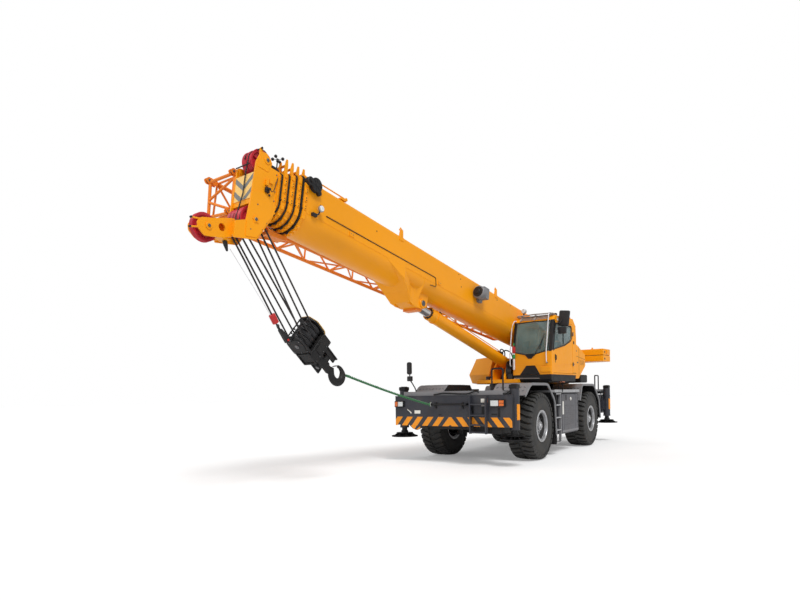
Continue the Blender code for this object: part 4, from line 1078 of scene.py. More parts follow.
def make_boom_fittings():
    """Hose reel, lamps, cable runs and brackets on the base section."""
    reel_at = (9.96, 0, 0.425)
    reel = [lathe([(0, 0.464), (0.030, 0.464), (0.034, 0.452), (0.118, 0.452), (0.120, 0.448),
                   (0.120, 0.440), (0.100, 0.438), (0.104, 0.425), (0.100, 0.412), (0.104, 0.400),
                   (0.120, 0.396), (0.120, 0.386), (0.060, 0.384), (0.060, 0.372), (0, 0.372)], 48, "Y",
                  reel_at), drum(0.070, 0.372, 0.470, (10.105, 0, 0.43), "Y", 28, 0.010),
            drum(0.030, 0.46, 0.50, (10.105, 0, 0.43), "Y", 16, 0.003),
            drum(0.045, 0.372, 0.430, (9.86, 0, 0.335), "Y", 24, 0.006),
            block((9.84, 0.372, 0.36), (10.02, 0.40, 0.52), 0.01)]
    for k in range(8):
        slot = block((-0.006, 0.4535, 0.045), (0.006, 0.458, 0.108), 0.001)
        reel.append(shifted(turned(slot, 45 * k, "Y"), reel_at))
    lamp_at = (9.82, 0, 0.07)
    lamp = [lathe([(0, 0.482), (0.046, 0.478), (0.054, 0.470), (0.057, 0.455), (0.050, 0.425),
                   (0.030, 0.405), (0, 0.400)], 36, "Y", lamp_at)]
    glass = [lathe([(0, 0.4865), (0.030, 0.485), (0.045, 0.480), (0.045, 0.476), (0, 0.476)], 36, "Y",
                   lamp_at)]
    clamp = [sweep(curved([(9.82, 0.42, 0.02), (9.85, 0.43, -0.03), (9.90, 0.40, -0.05),
                           (9.93, 0.37, -0.05)]), 0.012, 8),
             block((9.86, 0.372, -0.085), (9.96, 0.43, -0.03), 0.008),
             sweep([(9.82, 0.42, 0.115), (9.82, 0.42, 0.15)], 0.006, 6)]
    work_axis = (0, 0.515, 0.20)
    work = [block((4.30, 0.372, 0.10), (4.56, 0.60, 0.37), 0.020),
            drum(0.150, 4.50, 4.70, work_axis, "X", 36, 0.020),
            block((4.36, 0.372, 0.02), (4.50, 0.45, 0.12), 0.006)]
    work_lens = [drum(0.122, 4.698, 4.712, work_axis, "X", 36, 0.004),
                 drum(0.060, 4.70, 4.735, work_axis, "X", 28, 0.010)]
    runs = [sweep([(9.86, 0.335, 0.515), (9.80, 0.325, 0.560), (9.20, 0.325, 0.560), (9.14, 0.33, 0.515)],
                  0.012, 8)]
    stands = [block((9.18, 0.28, 0.500), (9.30, 0.365, 0.535), 0.010),
              drum(0.030, 0.28, 0.36, (9.16, 0, 0.545), "Y", 16, 0.004)]
    under = [prism([(10.09, -0.425), (10.20, -0.435), (10.50, -0.455), (10.52, -0.50), (10.44, -0.535),
                    (10.10, -0.50)], y, y + 0.014, "Y", 0.002) for y in (-0.22, -0.02)]
    under += [block((10.12, -0.22, -0.505), (10.48, -0.01, -0.492), 0.002),
              block((10.44, -0.25, -0.53), (10.50, 0.02, -0.47), 0.004)]
    feet = both(block((8.9, 0.366, -0.06), (9.02, 0.382, 0.02), 0.003),
                block((1.9, 0.366, 0.30), (2.05, 0.382, 0.42), 0.003),
                block((6.05, 0.366, -0.06), (6.17, 0.382, 0.02), 0.003))
    heads = []
    for u in (8.93, 8.99, 6.08, 6.14):
        heads += both(drum(0.008, 0.38, 0.389, (u, 0, -0.02), "Y", 6, 0.002))
    piece("boom_fittings", "boom_base", BOOM, (PLASTIC, reel, clamp), (RIM_SILVER, lamp),
          (LENS_WHITE, glass), (DECK_GREY, work), (HOSE, work_lens), (ORANGE, runs, stands, feet),
          (JIB_ORANGE, under), (STEEL, heads))


def make_jib():
    near, far = (10.85, -0.45, -1.02, -0.26, 0.40), (1.30, -0.56, -0.86, -0.06, 0.14)

    def corner(share, side, level):
        mix = [a + (b - a) * share for a, b in zip(near, far)]
        return Vector((mix[0], mix[1 + side], mix[3 + level]))

    chords = [rod(corner(0, s, l), corner(1, s, l), 0.034, 14) for s in (0, 1) for l in (0, 1)]
    lacing = []
    bays = 14
    for k in range(bays + 1):
        a, b = k / bays, min(1, (k + 1) / bays)
        ring_at = [corner(a, 0, 0), corner(a, 1, 0), corner(a, 1, 1), corner(a, 0, 1)]
        for i in range(4):
            if k in (0, bays) or i % 2 == k % 2:
                lacing.append(rod(ring_at[i], ring_at[(i + 1) % 4], 0.018, 8))
        if k == bays:
            break
        for side in (0, 1):
            lacing.append(rod(corner(a, side, k % 2), corner(b, side, (k + 1) % 2), 0.018, 8))
            if k < 3:
                lacing.append(rod(corner(a, side, (k + 1) % 2), corner(b, side, k % 2), 0.018, 8))
        for level in (0, 1):
            lacing.append(rod(corner(a, k % 2, level), corner(b, (k + 1) % 2, level), 0.016, 8))
    root = [rod((11.00, -0.99, 0.40), (10.93, -1.02, -0.28), 0.028, 12),
            rod((11.00, -0.97, 0.36), (10.92, -0.47, 0.42), 0.026, 12),
            rod((10.93, -1.00, -0.22), (10.90, -0.45, -0.24), 0.026, 12),
            rod((10.97, -0.99, 0.06), (10.91, -0.47, 0.34), 0.022, 12),
            rod((10.97, -1.0, 0.02), (10.86, -0.47, -0.18), 0.022, 12),
            rod((10.91, -0.46, 0.42), (10.89, -0.45, -0.24), 0.026, 12)]
    for u, y, v in ((10.97, -1.01, 0.38), (10.90, -0.46, 0.42), (10.93, -1.01, -0.26),
                    (10.89, -0.46, -0.24)):
        fork = smooth_outline([(u - 0.10, v - 0.045), (u + 0.08, v - 0.050), (u + 0.12, v),
                               (u + 0.08, v + 0.050), (u - 0.10, v + 0.045)], 0.02)
        for side in (-0.040, 0.026):
            root.append(prism(fork, y + side, y + side + 0.014, "Y", 0.002))
    pins = [drum(0.020, y - 0.052, y + 0.052, (u, 0, v), "Y", 16, 0.003)
            for u, y, v in ((11.03, -1.01, 0.38), (10.96, -0.46, 0.42), (10.99, -1.01, -0.26),
                            (10.95, -0.46, -0.24))]
    tail = [rod(corner(1, 0, 0), corner(1, 1, 1), 0.018, 8),
            block((1.22, -0.87, -0.08), (1.32, -0.55, -0.04), 0.004),
            *[prism(smooth_outline([(1.10, 0.02), (1.34, 0.0), (1.34, 0.08), (1.10, 0.06)], 0.02), y,
                    y + 0.012, "Y", 0.002) for y in (-0.76, -0.67)]]
    brackets = []
    for share in (0.20, 0.72):
        at = corner(share, 0, 0)
        brackets.append(block((at.x - 0.05, at.y - 0.03, at.z - 0.02), (at.x + 0.05, -0.372, at.z + 0.06),
                              0.004))
        brackets.append(block((at.x - 0.045, -0.392, at.z - 0.04), (at.x + 0.045, -0.372, at.z + 0.16),
                              0.004))
        brackets.append(drum(0.024, at.y - 0.05, at.y - 0.02, (at.x, 0, at.z + 0.03), "Y", 16, 0.003))
    small = [rod(corner(0.02, 1, 0) + Vector((0, 0, 0.2)),
                 corner(0.02, 1, 0) + Vector((-0.09, 0.12, 0.2)), 0.012, 8)]
    piece("jib_tubes", "boom_base", BOOM, (JIB_ORANGE, chords, lacing, root, tail, brackets),
          (STEEL, pins), (DARK_STEEL, small), replaces=["lattice_jib"], slot="jib_paint")


# Hook block and hook

# Degrees: the boom at rest, and how far the tie draws the falls forward of hanging straight down
REST_LUFF = 9.296
FALLS_ASIDE = 33.5
HANG_PLACE = BOOM @ Matrix.Translation(LOWER_AXLE) @ Matrix.Rotation(math.radians(REST_LUFF
                                                                                  + FALLS_ASIDE), 4, "Y")
BLOCK_TILT = Matrix.Translation((-0.03, 0, -1.85)) @ Matrix.Rotation(math.radians(14), 4, "Y")
BLOCK_PLACE = HANG_PLACE @ BLOCK_TILT
FALL_R = 0.0145

BLOCK_WIDTH_SHARE = 0.80


def make_hook_block():
    wheels = []
    for x in (-0.19, -0.065, 0.065, 0.19):
        side = [(0.045, 0.050), (0.080, 0.050), (0.085, 0.026), (0.135, 0.020), (0.155, 0.046),
                (0.183, 0.052), (0.185, 0.044), (0.166, 0.016)]
        wheels.append(lathe([*side, (0.156, 0), *[(r, -h) for r, h in side[::-1]]], 48, "X",
                            (x, 0, -0.20), ring=True))
    cheek = [(-0.10, 0.02), (0.10, 0.02), (0.205, -0.12), (0.205, -0.34), (0.16, -0.42), (-0.16, -0.42),
             (-0.205, -0.34), (-0.205, -0.12)]
    cheeks = [prism(smooth_outline(cheek, 0.03), x, x + 0.030, "X", 0.004) for x in (-0.308, 0.278)]
    cheeks += [prism(smooth_outline([(-0.13, -0.06), (0.13, -0.06), (0.16, -0.20), (0.12, -0.36),
                                     (-0.12, -0.36), (-0.16, -0.20)], 0.04), x, x + 0.008, "X", 0.002)
               for x in (-0.316, 0.308)]
    plates = [prism([(-0.16, -0.08), (0.16, -0.08), (0.17, -0.34), (-0.17, -0.34)], x, x + 0.006, "X",
                    0.001) for x in (-0.130, -0.003, 0.124)]
    body = both(block((-0.335, 0.125, -0.60), (0.335, 0.155, -0.36), 0.005),
                block((-0.12, 0.150, -0.56), (0.12, 0.166, -0.44), 0.005))
    body += [block((-0.335, -0.15, low), (0.335, 0.15, high), 0.004)
             for low, high in ((-0.40, -0.37), (-0.62, -0.585))]
    body += [block((x, -0.14, -0.60), (x + 0.030, 0.14, -0.38), 0.003) for x in (-0.315, 0.285)]
    lower = [block((-0.21, -0.11, -0.82), (0.21, 0.11, -0.72), 0.008)]
    for x in (-0.225, 0.085):
        lower += both(block((x, 0.085, -0.92), (x + 0.140, 0.120, -0.60), 0.005))
    lower += [block((x, 0.10, -0.94), (x + 0.035, 0.135, -0.60), 0.004) for x in (-0.225, 0.19)]
    nut = [drum(0.085, -0.72, -0.655, axis="Z", steps=6, edge=0.006),
           drum(0.10, -0.735, -0.715, steps=32, edge=0.003),
           drum(0.060, -0.915, -0.80, steps=32, edge=0.004)]
    bars = [sweep([(-0.31, y, 0.0), (0.31, y, 0.0)], 0.012, 10) for y in (-0.10, 0.10)]
    bars += [sweep([(-0.31, y, -0.385), (0.31, y, -0.385)], 0.012, 10) for y in (-0.17, 0.17)]
    pins = [drum(0.042, -0.330, 0.330, (0, 0, -0.20), "X", 32, 0.004),
            drum(0.035, -0.245, 0.245, (0, 0, -0.77), "X", 24, 0.004)]
    heads = []
    for y, z in ((-0.12, -0.10), (0.12, -0.10), (-0.15, -0.32), (0.15, -0.32), (0, -0.34), (0, -0.05)):
        for low, high in ((-0.325, -0.312), (0.312, 0.325)):
            heads.append(drum(0.013, low, high, (0, y, z), "X", 6, 0.002))
    for x in (-0.29, -0.15, 0, 0.15, 0.29):
        heads += both(drum(0.012, 0.153, 0.168, (x, 0, -0.40), "Y", 6, 0.002),
                      drum(0.012, 0.153, 0.168, (x, 0, -0.575), "Y", 6, 0.002))
    guides = [block((x - 0.012, y - 0.014, -0.035), (x + 0.012, y + 0.014, 0.015), 0.003)
              for x in (-0.25, -0.125, 0, 0.125, 0.25) for y in (-0.10, 0.10)]
    # A cream sheet a little wider than the far cheek, showing as a bright band along that cheek's edge.
    guard = [prism(smooth_outline([(y * 1.06, z) for y, z in cheek], 0.03), -0.324, -0.318, "X", 0.001)]
    for shape in (*cheeks, *plates, *body, *lower, *bars, *wheels, *pins, *heads, *guides, *guard):
        bmesh.ops.scale(shape, vec=(BLOCK_WIDTH_SHARE, 1, 1), verts=shape.verts)
    piece("block_body", "hook_block", BLOCK_PLACE, (CREAM, guard),
          (FRAME_BLACK, cheeks, plates, body, lower, bars), (DARK_STEEL, wheels, nut),
          (STEEL, pins, heads, guides), replaces=["hook_block"], slot="black_paint")
    ropes = []
    for side in (-1, 1):
        for y in (-0.1275, 0, 0.1275):
            low = [BLOCK_TILT @ Vector((-1.2 * y, -0.165 * side, z)) for z in (-0.18, -0.05)]
            ropes.append(sweep([*low, (ROPE_ON_SHEAVE * side, y, 0.0)], FALL_R, 8))
    ropes.append(sweep([(0.36, 0, -0.02), (0.345, 0, -0.5), (0.345, 0, -1.66)], FALL_R, 8))
    weight = [drum(0.055, -1.56, -1.40, (0.345, 0, 0), "Z", 28, 0.008)]
    socket = [sweep([(0.345, 0, -1.63), (0.34, 0, -1.66), (0.325, 0, -1.78)], 0.022, 12),
              prism([(0.31, -1.68), (0.36, -1.68), (0.345, -1.93), (0.225, -1.98), (0.235, -1.90)],
                    -0.030, 0.030, "Y", 0.006)]
    chain = [sweep([(0.345, 0, -1.565), (0.345, 0, -1.63)], 0.014, 8),
             ring(0.030, 0.014, -0.008, 0.008, (0.335, 0, -1.615), "Y", 16)]
    pin = [drum(0.018, -0.045, 0.045, (0.285, 0, -1.93), "Y", 16, 0.003)]
    cable = [sweep(curved([(0.495, 0, -0.22), (0.452, 0.0, -0.62), (0.405, 0.0, -1.05),
                           (0.372, 0.0, -1.42)]), 0.005, 6)]
    piece("block_ropes", "hook_block", HANG_PLACE, (ROPE, ropes),
          (RED_PAINT, weight, [drum(0.021, -0.046, 0.046, (0.30, 0, -1.90), "Y", 6, 0.002)]),
          (DARK_STEEL, socket), (STEEL, chain, pin), (WHITE_TUBE, cable))


def hook_shape():
    """Forged hook: a line of round sections that swell at the bowl and thin out to the tip."""
    line = [((0, 0.10), 0.044), ((0, -0.02), 0.044), ((0, -0.085), 0.054)]
    for k in range(25):
        turn = math.radians(75 - 285 * k / 24)
        thick = 0.056 + 0.018 * math.sin(math.pi * min(1, k / 20)) - 0.030 * max(0, (k - 17) / 7)
        line.append(((-0.062 + 0.142 * math.cos(turn), -0.278 + 0.152 * math.sin(turn)), thick))
    middles = [middle for middle, _ in line]
    rings = []
    for i, ((x, z), thick) in enumerate(line):
        across = across_line(middles, i)
        rings.append([(x + across.x * thick * math.cos(t), thick * 0.82 * math.sin(t),
                       z + across.y * thick * math.cos(t))
                      for t in (math.tau * n / 20 for n in range(20))])
    return loft(rings)


def make_hook():
    hook = [hook_shape(), drum(0.062, 0.035, 0.060, steps=32, edge=0.004)]
    latch = [prism([(-0.060, -0.095), (-0.040, -0.080), (-0.150, -0.165), (-0.165, -0.155)], -0.030,
                   0.030, "Y", 0.003), drum(0.018, -0.042, 0.042, (-0.005, 0, -0.105), "Y", 16, 0.003)]
    piece("hook_forging", "hook", HOOK, (FRAME_BLACK, hook), (STEEL, latch), replaces=["hook"],
          slot="black_paint")


def make_cylinder():
    length = (joint_at("cylinder_turn") - SUPER @ Vector(BARREL_EYE)).length
    rod_shapes = [drum(0.099, -3.70, -0.09, axis="X", steps=48, edge=0.003)]
    eye = [drum(0.100, -0.150, 0.150, axis="Y", steps=40, edge=0.008),
           lathe([(0, 0.02), (0.099, 0.02), (0.112, -0.01), (0.112, -0.07), (0.099, -0.085), (0, -0.085)],
                 40, "X", (-0.06, 0, 0))]
    piece("rod_chrome", "cylinder_rod", CYLINDER, (CHROME, rod_shapes), (ORANGE, eye),
          replaces=["cylinder_rod"], slot="chrome_rod")
    barrel = [lathe([(0.103, -0.56), (0.145, -0.56), (0.145, -length + 0.30), (0.150, -length + 0.28),
                     (0.150, -length + 0.22), (0.140, -length + 0.20), (0.120, -length + 0.10),
                     (0, -length + 0.08), (0, -length + 0.26), (0.103, -length + 0.26)], 48, "X"),
              ring(0.147, 0.104, -0.70, -0.55, axis="X", steps=48),
              ring(0.160, 0.140, -0.78, -0.755, axis="X", steps=48),
              drum(0.130, -0.145, 0.145, (-length, 0, 0), "Y", 40, 0.008),
              block((-length + 0.02, -0.10, -0.10), (-length + 0.16, 0.10, 0.10), 0.02)]
    ports = [block((-1.02, -0.035, 0.13), (-0.92, 0.035, 0.185), 0.006),
             block((-length + 0.34, -0.05, 0.12), (-length + 0.56, 0.05, 0.20), 0.008)]
    lines = [sweep([(-0.97, 0.02, 0.17), (-1.05, 0.05, 0.18), (-1.2, 0.07, 0.165),
                    (-length + 0.7, 0.07, 0.165), (-length + 0.5, 0.03, 0.17)], 0.011, 8),
             sweep([(-1.60, 0, 0.160), (-length + 0.6, 0, 0.170)], 0.008, 8)]
    hoses = [sweep(curved([(-length + 0.40, 0.03, 0.19), (-length + 0.25, 0.06, 0.30),
                           (-length + 0.02, 0.10, 0.30), (-length - 0.10, 0.14, 0.12)]), 0.016, 10),
             sweep(curved([(-length + 0.44, -0.03, 0.19), (-length + 0.28, -0.06, 0.33),
                           (-length + 0.02, -0.09, 0.33), (-length - 0.12, -0.14, 0.14)]), 0.016, 10)]
    wiper = [ring(0.118, 0.1005, -0.556, -0.540, axis="X", steps=48)]
    piece("barrel_painted", "cylinder_barrel", CYLINDER, (ORANGE, barrel, lines),
          (DARK_STEEL, ports, wiper, bolts(0.131, 12, 0.008, -0.552, -0.540, axis="X")), (HOSE, hoses),
          replaces=["cylinder_barrel"], slot="orange_paint")


# Cab: X forward, Y to its left, in the superstructure's frame

CAB_IN, CAB_OUT = 0.395, 1.465


def tilted_screen(low_line, high_line, thick):
    """A pane between a lower and an upper line of (x, y, z) points."""
    shape = bmesh.new()
    rows = []
    for off in (0, -thick):
        rows.append([[shape.verts.new((x + off, y, z)) for x, y, z in line]
                     for line in (low_line, high_line)])
    count = len(low_line)
    for row in rows:
        for i in range(count - 1):
            shape.faces.new((row[0][i], row[0][i + 1], row[1][i + 1], row[1][i]))
    for i in range(count - 1):
        shape.faces.new((rows[0][0][i], rows[1][0][i], rows[1][0][i + 1], rows[0][0][i + 1]))
        shape.faces.new((rows[0][1][i], rows[1][1][i], rows[1][1][i + 1], rows[0][1][i + 1]))
    for i in (0, count - 1):
        shape.faces.new((rows[0][0][i], rows[0][1][i], rows[1][1][i], rows[1][0][i]))
    return finished(shape)


def screen_x(z):
    """The front of the cab at a height: straight below the windscreen, leaning back above."""
    return 1.0 if z < 2.62 else 1.0 - (z - 2.62) * 0.2326


WINDOW = [(0.845, 2.70), (0.10, 2.84), (-0.31, 2.975), (-0.385, 3.04), (-0.395, 3.33), (-0.36, 3.37),
          (0.705, 3.37)]


def make_cab():
    side = [(-0.72, 2.06), (0.985, 2.06), (1.0, 2.62), (0.80, 3.48), (0.715, 3.575), (-0.50, 3.585),
            (-0.70, 3.40), (-0.735, 3.10), (-0.74, 2.35)]
    doorway = [(-0.458, 2.092), (0.878, 2.092), (0.878, 2.66), (0.748, 3.428), (-0.458, 3.428)]
    walls = [between(side, doorway, CAB_OUT - 0.05, CAB_OUT, "Y", 0.010)]
    pane = smooth_outline([(-0.55, 2.62), (0.86, 2.62), (0.70, 3.40), (-0.55, 3.40)], 0.06)
    rear_pane = smooth_outline([(0.52, 2.75), (1.34, 2.75), (1.34, 3.36), (0.52, 3.36)], 0.05)
    walls.append(between(side, pane, CAB_IN, CAB_IN + 0.05, "Y", 0.010))
    inner_y, outer_y = CAB_IN + 0.012, CAB_OUT - 0.012
    front = prism([(inner_y, 2.06), (outer_y, 2.06), (outer_y, 2.655), (1.36, 2.65), (1.02, 2.575),
                   (0.935, 2.49), (0.83, 2.49), (0.745, 2.575), (0.44, 2.64), (inner_y, 2.64)], 0.955,
                  1.002, "X", 0.006)
    crease = prism([(inner_y, 2.335), (0.76, 2.325), (1.03, 2.305), (outer_y, 2.265), (outer_y, 2.273),
                    (1.03, 2.313), (0.76, 2.333), (inner_y, 2.343)], 1.000, 1.006, "X", 0.002)
    header = [prism([(0.80, 3.44), (0.815, 3.46), (0.71, 3.578), (0.60, 3.588), (0.60, 3.54),
                     (0.70, 3.53), (0.775, 3.44)], inner_y, outer_y, "Y", 0.006)]
    roof = [prism([(0.72, 3.535), (0.715, 3.578), (-0.50, 3.588), (-0.70, 3.40), (-0.66, 3.40),
                   (-0.49, 3.540)], inner_y, outer_y, "Y", 0.008),
            block((-0.40, 0.55, 3.575), (0.55, 1.31, 3.602), 0.010)]
    back = between([(inner_y, 2.06), (outer_y, 2.06), (outer_y, 3.42), (inner_y, 3.42)], rear_pane,
                   -0.735, -0.69, "X", 0.006)
    floor = block((-0.72, inner_y, 2.055), (0.98, outer_y, 2.085), 0.004)
    bulge = [prism([(0.93, 2.10), (1.02, 2.12), (1.02, 2.26), (0.93, 2.26)], 1.17, outer_y - 0.005, "Y",
                   0.008)]
    panel_lines = [block((-0.60, CAB_OUT - 0.002, 2.345), (-0.47, CAB_OUT + 0.004, 2.353), 0.001)]
    pillars = [prism([(0.985, 2.66), (1.004, 2.64), (0.812, 3.465), (0.745, 3.465), (0.882, 2.68)], 1.385,
                     CAB_OUT + 0.003, "Y", 0.006),
               prism([(0.985, 2.64), (1.004, 2.62), (0.812, 3.465), (0.765, 3.465), (0.945, 2.62)],
                     CAB_IN - 0.003, 0.44, "Y", 0.006)]
    trapezoid = prism([(0.60, 2.062), (0.77, 2.285), (0.79, 2.30), (1.01, 2.295), (1.03, 2.28),
                       (1.155, 2.062)], 0.998, 1.014, "X", 0.004)
    notch = prism([(0.745, 2.585), (0.835, 2.476), (0.93, 2.476), (1.02, 2.585), (0.99, 2.60),
                   (0.77, 2.60)], 1.000, 1.010, "X", 0.003)
    base = [prism([(-0.66, 1.885), (0.95, 1.885), (1.01, 1.93), (1.012, 2.058), (-0.72, 2.058)],
                  CAB_IN + 0.02, CAB_OUT - 0.01, "Y", 0.010),
            # The black block under the cab base is painted shade, darkening the gap under the cab.
            block((-0.50, 0.62, 1.862), (0.80, 1.30, 1.89), 0.006)]
    stripe = [prism([(0.44, 1.972), (1.14, 1.958), (1.14, 1.974), (0.44, 1.990)], 1.011, 1.015, "X")]
    seal_line = [(screen_x(z) + 0.004, y, z)
                 for y, z in ((0.455, 2.655), (0.75, 2.59), (0.84, 2.503), (0.925, 2.503), (1.015, 2.59),
                              (1.36, 2.668), (1.372, 3.05), (1.372, 3.43), (0.93, 3.45), (0.455, 3.43),
                              (0.447, 3.05))]
    seals = [sweep(rounded(seal_line, 0.03, 3), 0.011, 8, closed=True)]
    seals += [sweep([(x, CAB_IN - 0.002, z) for x, z in pane], 0.009, 8, closed=True)]
    low_line = [(screen_x(z), y, z) for y, z in ((0.44, 2.645), (0.75, 2.575), (0.835, 2.49),
                                                 (0.93, 2.49), (1.02, 2.575), (1.385, 2.655))]
    high_line = [(screen_x(3.45), y, 3.45) for _, y, _ in low_line]
    panes = [tilted_screen(low_line, high_line, 0.006), prism(pane, CAB_IN + 0.02, CAB_IN + 0.026, "Y"),
             prism(rear_pane, -0.715, -0.709, "X")]
    wiper = [sweep([(1.02, 1.00, 2.56), (0.985, 1.14, 2.80), (0.945, 1.20, 2.97)], 0.007, 8),
             drum(0.022, 1.0, 1.03, (0, 1.00, 2.56), "X", 20, 0.004),
             sweep([(0.992, 1.14, 2.70), (0.905, 1.24, 3.10)], 0.009, 6)]
    tubes = [sweep(rounded([(0.99, 1.345, 2.36), (1.05, 1.345, 2.37), (1.058, 1.345, 2.62),
                            (0.90, 1.345, 3.42), (0.86, 1.345, 3.60), (0.78, 1.345, 3.63)], 0.03), 0.013,
                   10), sweep(rounded([(0.99, 0.350, 2.30), (1.05, 0.350, 2.31), (1.058, 0.350, 2.62),
                                       (0.93, 0.360, 3.36), (0.86, 0.40, 3.50), (0.80, 0.42, 3.50)],
                                      0.03), 0.013, 10)]
    clips = [block((0.985, 1.325, 2.345), (1.03, 1.365, 2.375), 0.004),
             block((0.985, 0.335, 2.285), (1.03, 0.395, 2.315), 0.004),
             block((0.76, 1.325, 3.61), (0.80, 1.365, 3.645), 0.004)]
    guard = [*[block((0.715 + 0.028 * n, 0.55, 3.585 - 0.032 * n),
                     (0.735 + 0.028 * n, 1.31, 3.603 - 0.032 * n), 0.004) for n in range(4)],
             *[prism([(0.70, 3.60), (0.83, 3.47), (0.845, 3.485), (0.715, 3.615)], y, y + 0.03, "Y",
                     0.003) for y in (0.54, 0.92, 1.30)],
             sweep(rounded([(0.62, 0.43, 3.58), (0.76, 0.43, 3.625), (0.79, 0.93, 3.635),
                            (0.76, 1.43, 3.625), (0.62, 1.43, 3.58)], 0.05), 0.017, 10),
             block((0.60, 0.47, 3.585), (0.76, 1.39, 3.600), 0.004),
             *[block((0.62, y, 3.585), (0.76, y + 0.02, 3.625), 0.003) for y in (0.55, 0.92, 1.29)]]
    can_axis = (1.045, 0.455, 0)
    bottle = [drum(0.044, 2.64, 2.80, can_axis, "Z", 24, 0.008),
              sweep([(1.045, 0.455, 2.80), (1.045, 0.455, 2.83)], 0.012, 10)]
    can = [drum(0.038, 2.50, 2.60, can_axis, "Z", 24, 0.006),
           drum(0.020, 2.84, 2.90, can_axis, "Z", 20, 0.006)]
    white_can = [drum(0.028, 2.20, 2.49, can_axis, "Z", 24, 0.006),
                 drum(0.030, 2.60, 2.64, can_axis, "Z", 24, 0.006)]
    lamp = [block((-0.62, 1.20, 3.60), (-0.50, 1.36, 3.65), 0.01)]
    lamp_base = [block((0.42, 1.28, 3.60), (0.54, 1.40, 3.655), 0.008),
                 block((0.74, 0.605, 3.63), (0.77, 0.635, 3.70), 0.003)]
    work_lamp = [drum(0.062, 0.70, 0.79, (0, 0.62, 3.745), "X", 32, 0.012)]
    work_glass = [drum(0.050, 0.786, 0.796, (0, 0.62, 3.745), "X", 32, 0.004)]
    label = [block((0.30, CAB_OUT - 0.001, 3.452), (0.62, CAB_OUT + 0.003, 3.505), 0.001)]
    reflectors = [block((0.05, CAB_OUT - 0.055, 1.862), (0.42, CAB_OUT - 0.030, 1.882), 0.003)]
    hinges = [drum(0.018, z, z + 0.10, (-0.458, CAB_OUT + 0.012, 0), "Z", 16, 0.003) for z in (2.30, 3.12)]
    slot = [block((-0.70, CAB_OUT - 0.01, 2.105), (-0.455, CAB_OUT + 0.003, 2.118), 0.001),
            block((-0.58, CAB_OUT - 0.01, 2.90), (-0.50, CAB_OUT + 0.004, 2.98), 0.004)]
    piece("cab_body", "superstructure", SUPER,
          (ORANGE, walls, front, crease, header, roof, back, floor, bulge),
          (FRAME_BLACK, pillars, trapezoid, notch, base), (HOSE, seals, wiper, panel_lines, slot),
          (WHITE_TUBE, tubes, white_can), (STEEL, clips, hinges), (ROOF_GREY, guard, stripe),
          (RED_PAINT, bottle), (GREEN_PAINT, can), (LENS_ORANGE, lamp, reflectors),
          (RIM_SILVER, work_lamp), (LENS_WHITE, work_glass), (PLASTIC, lamp_base), (PLATE_WHITE, label),
          replaces=["cab_shell"], slot="orange_paint")
    piece("cab_glass", "superstructure", SUPER, (GLASS, panes))


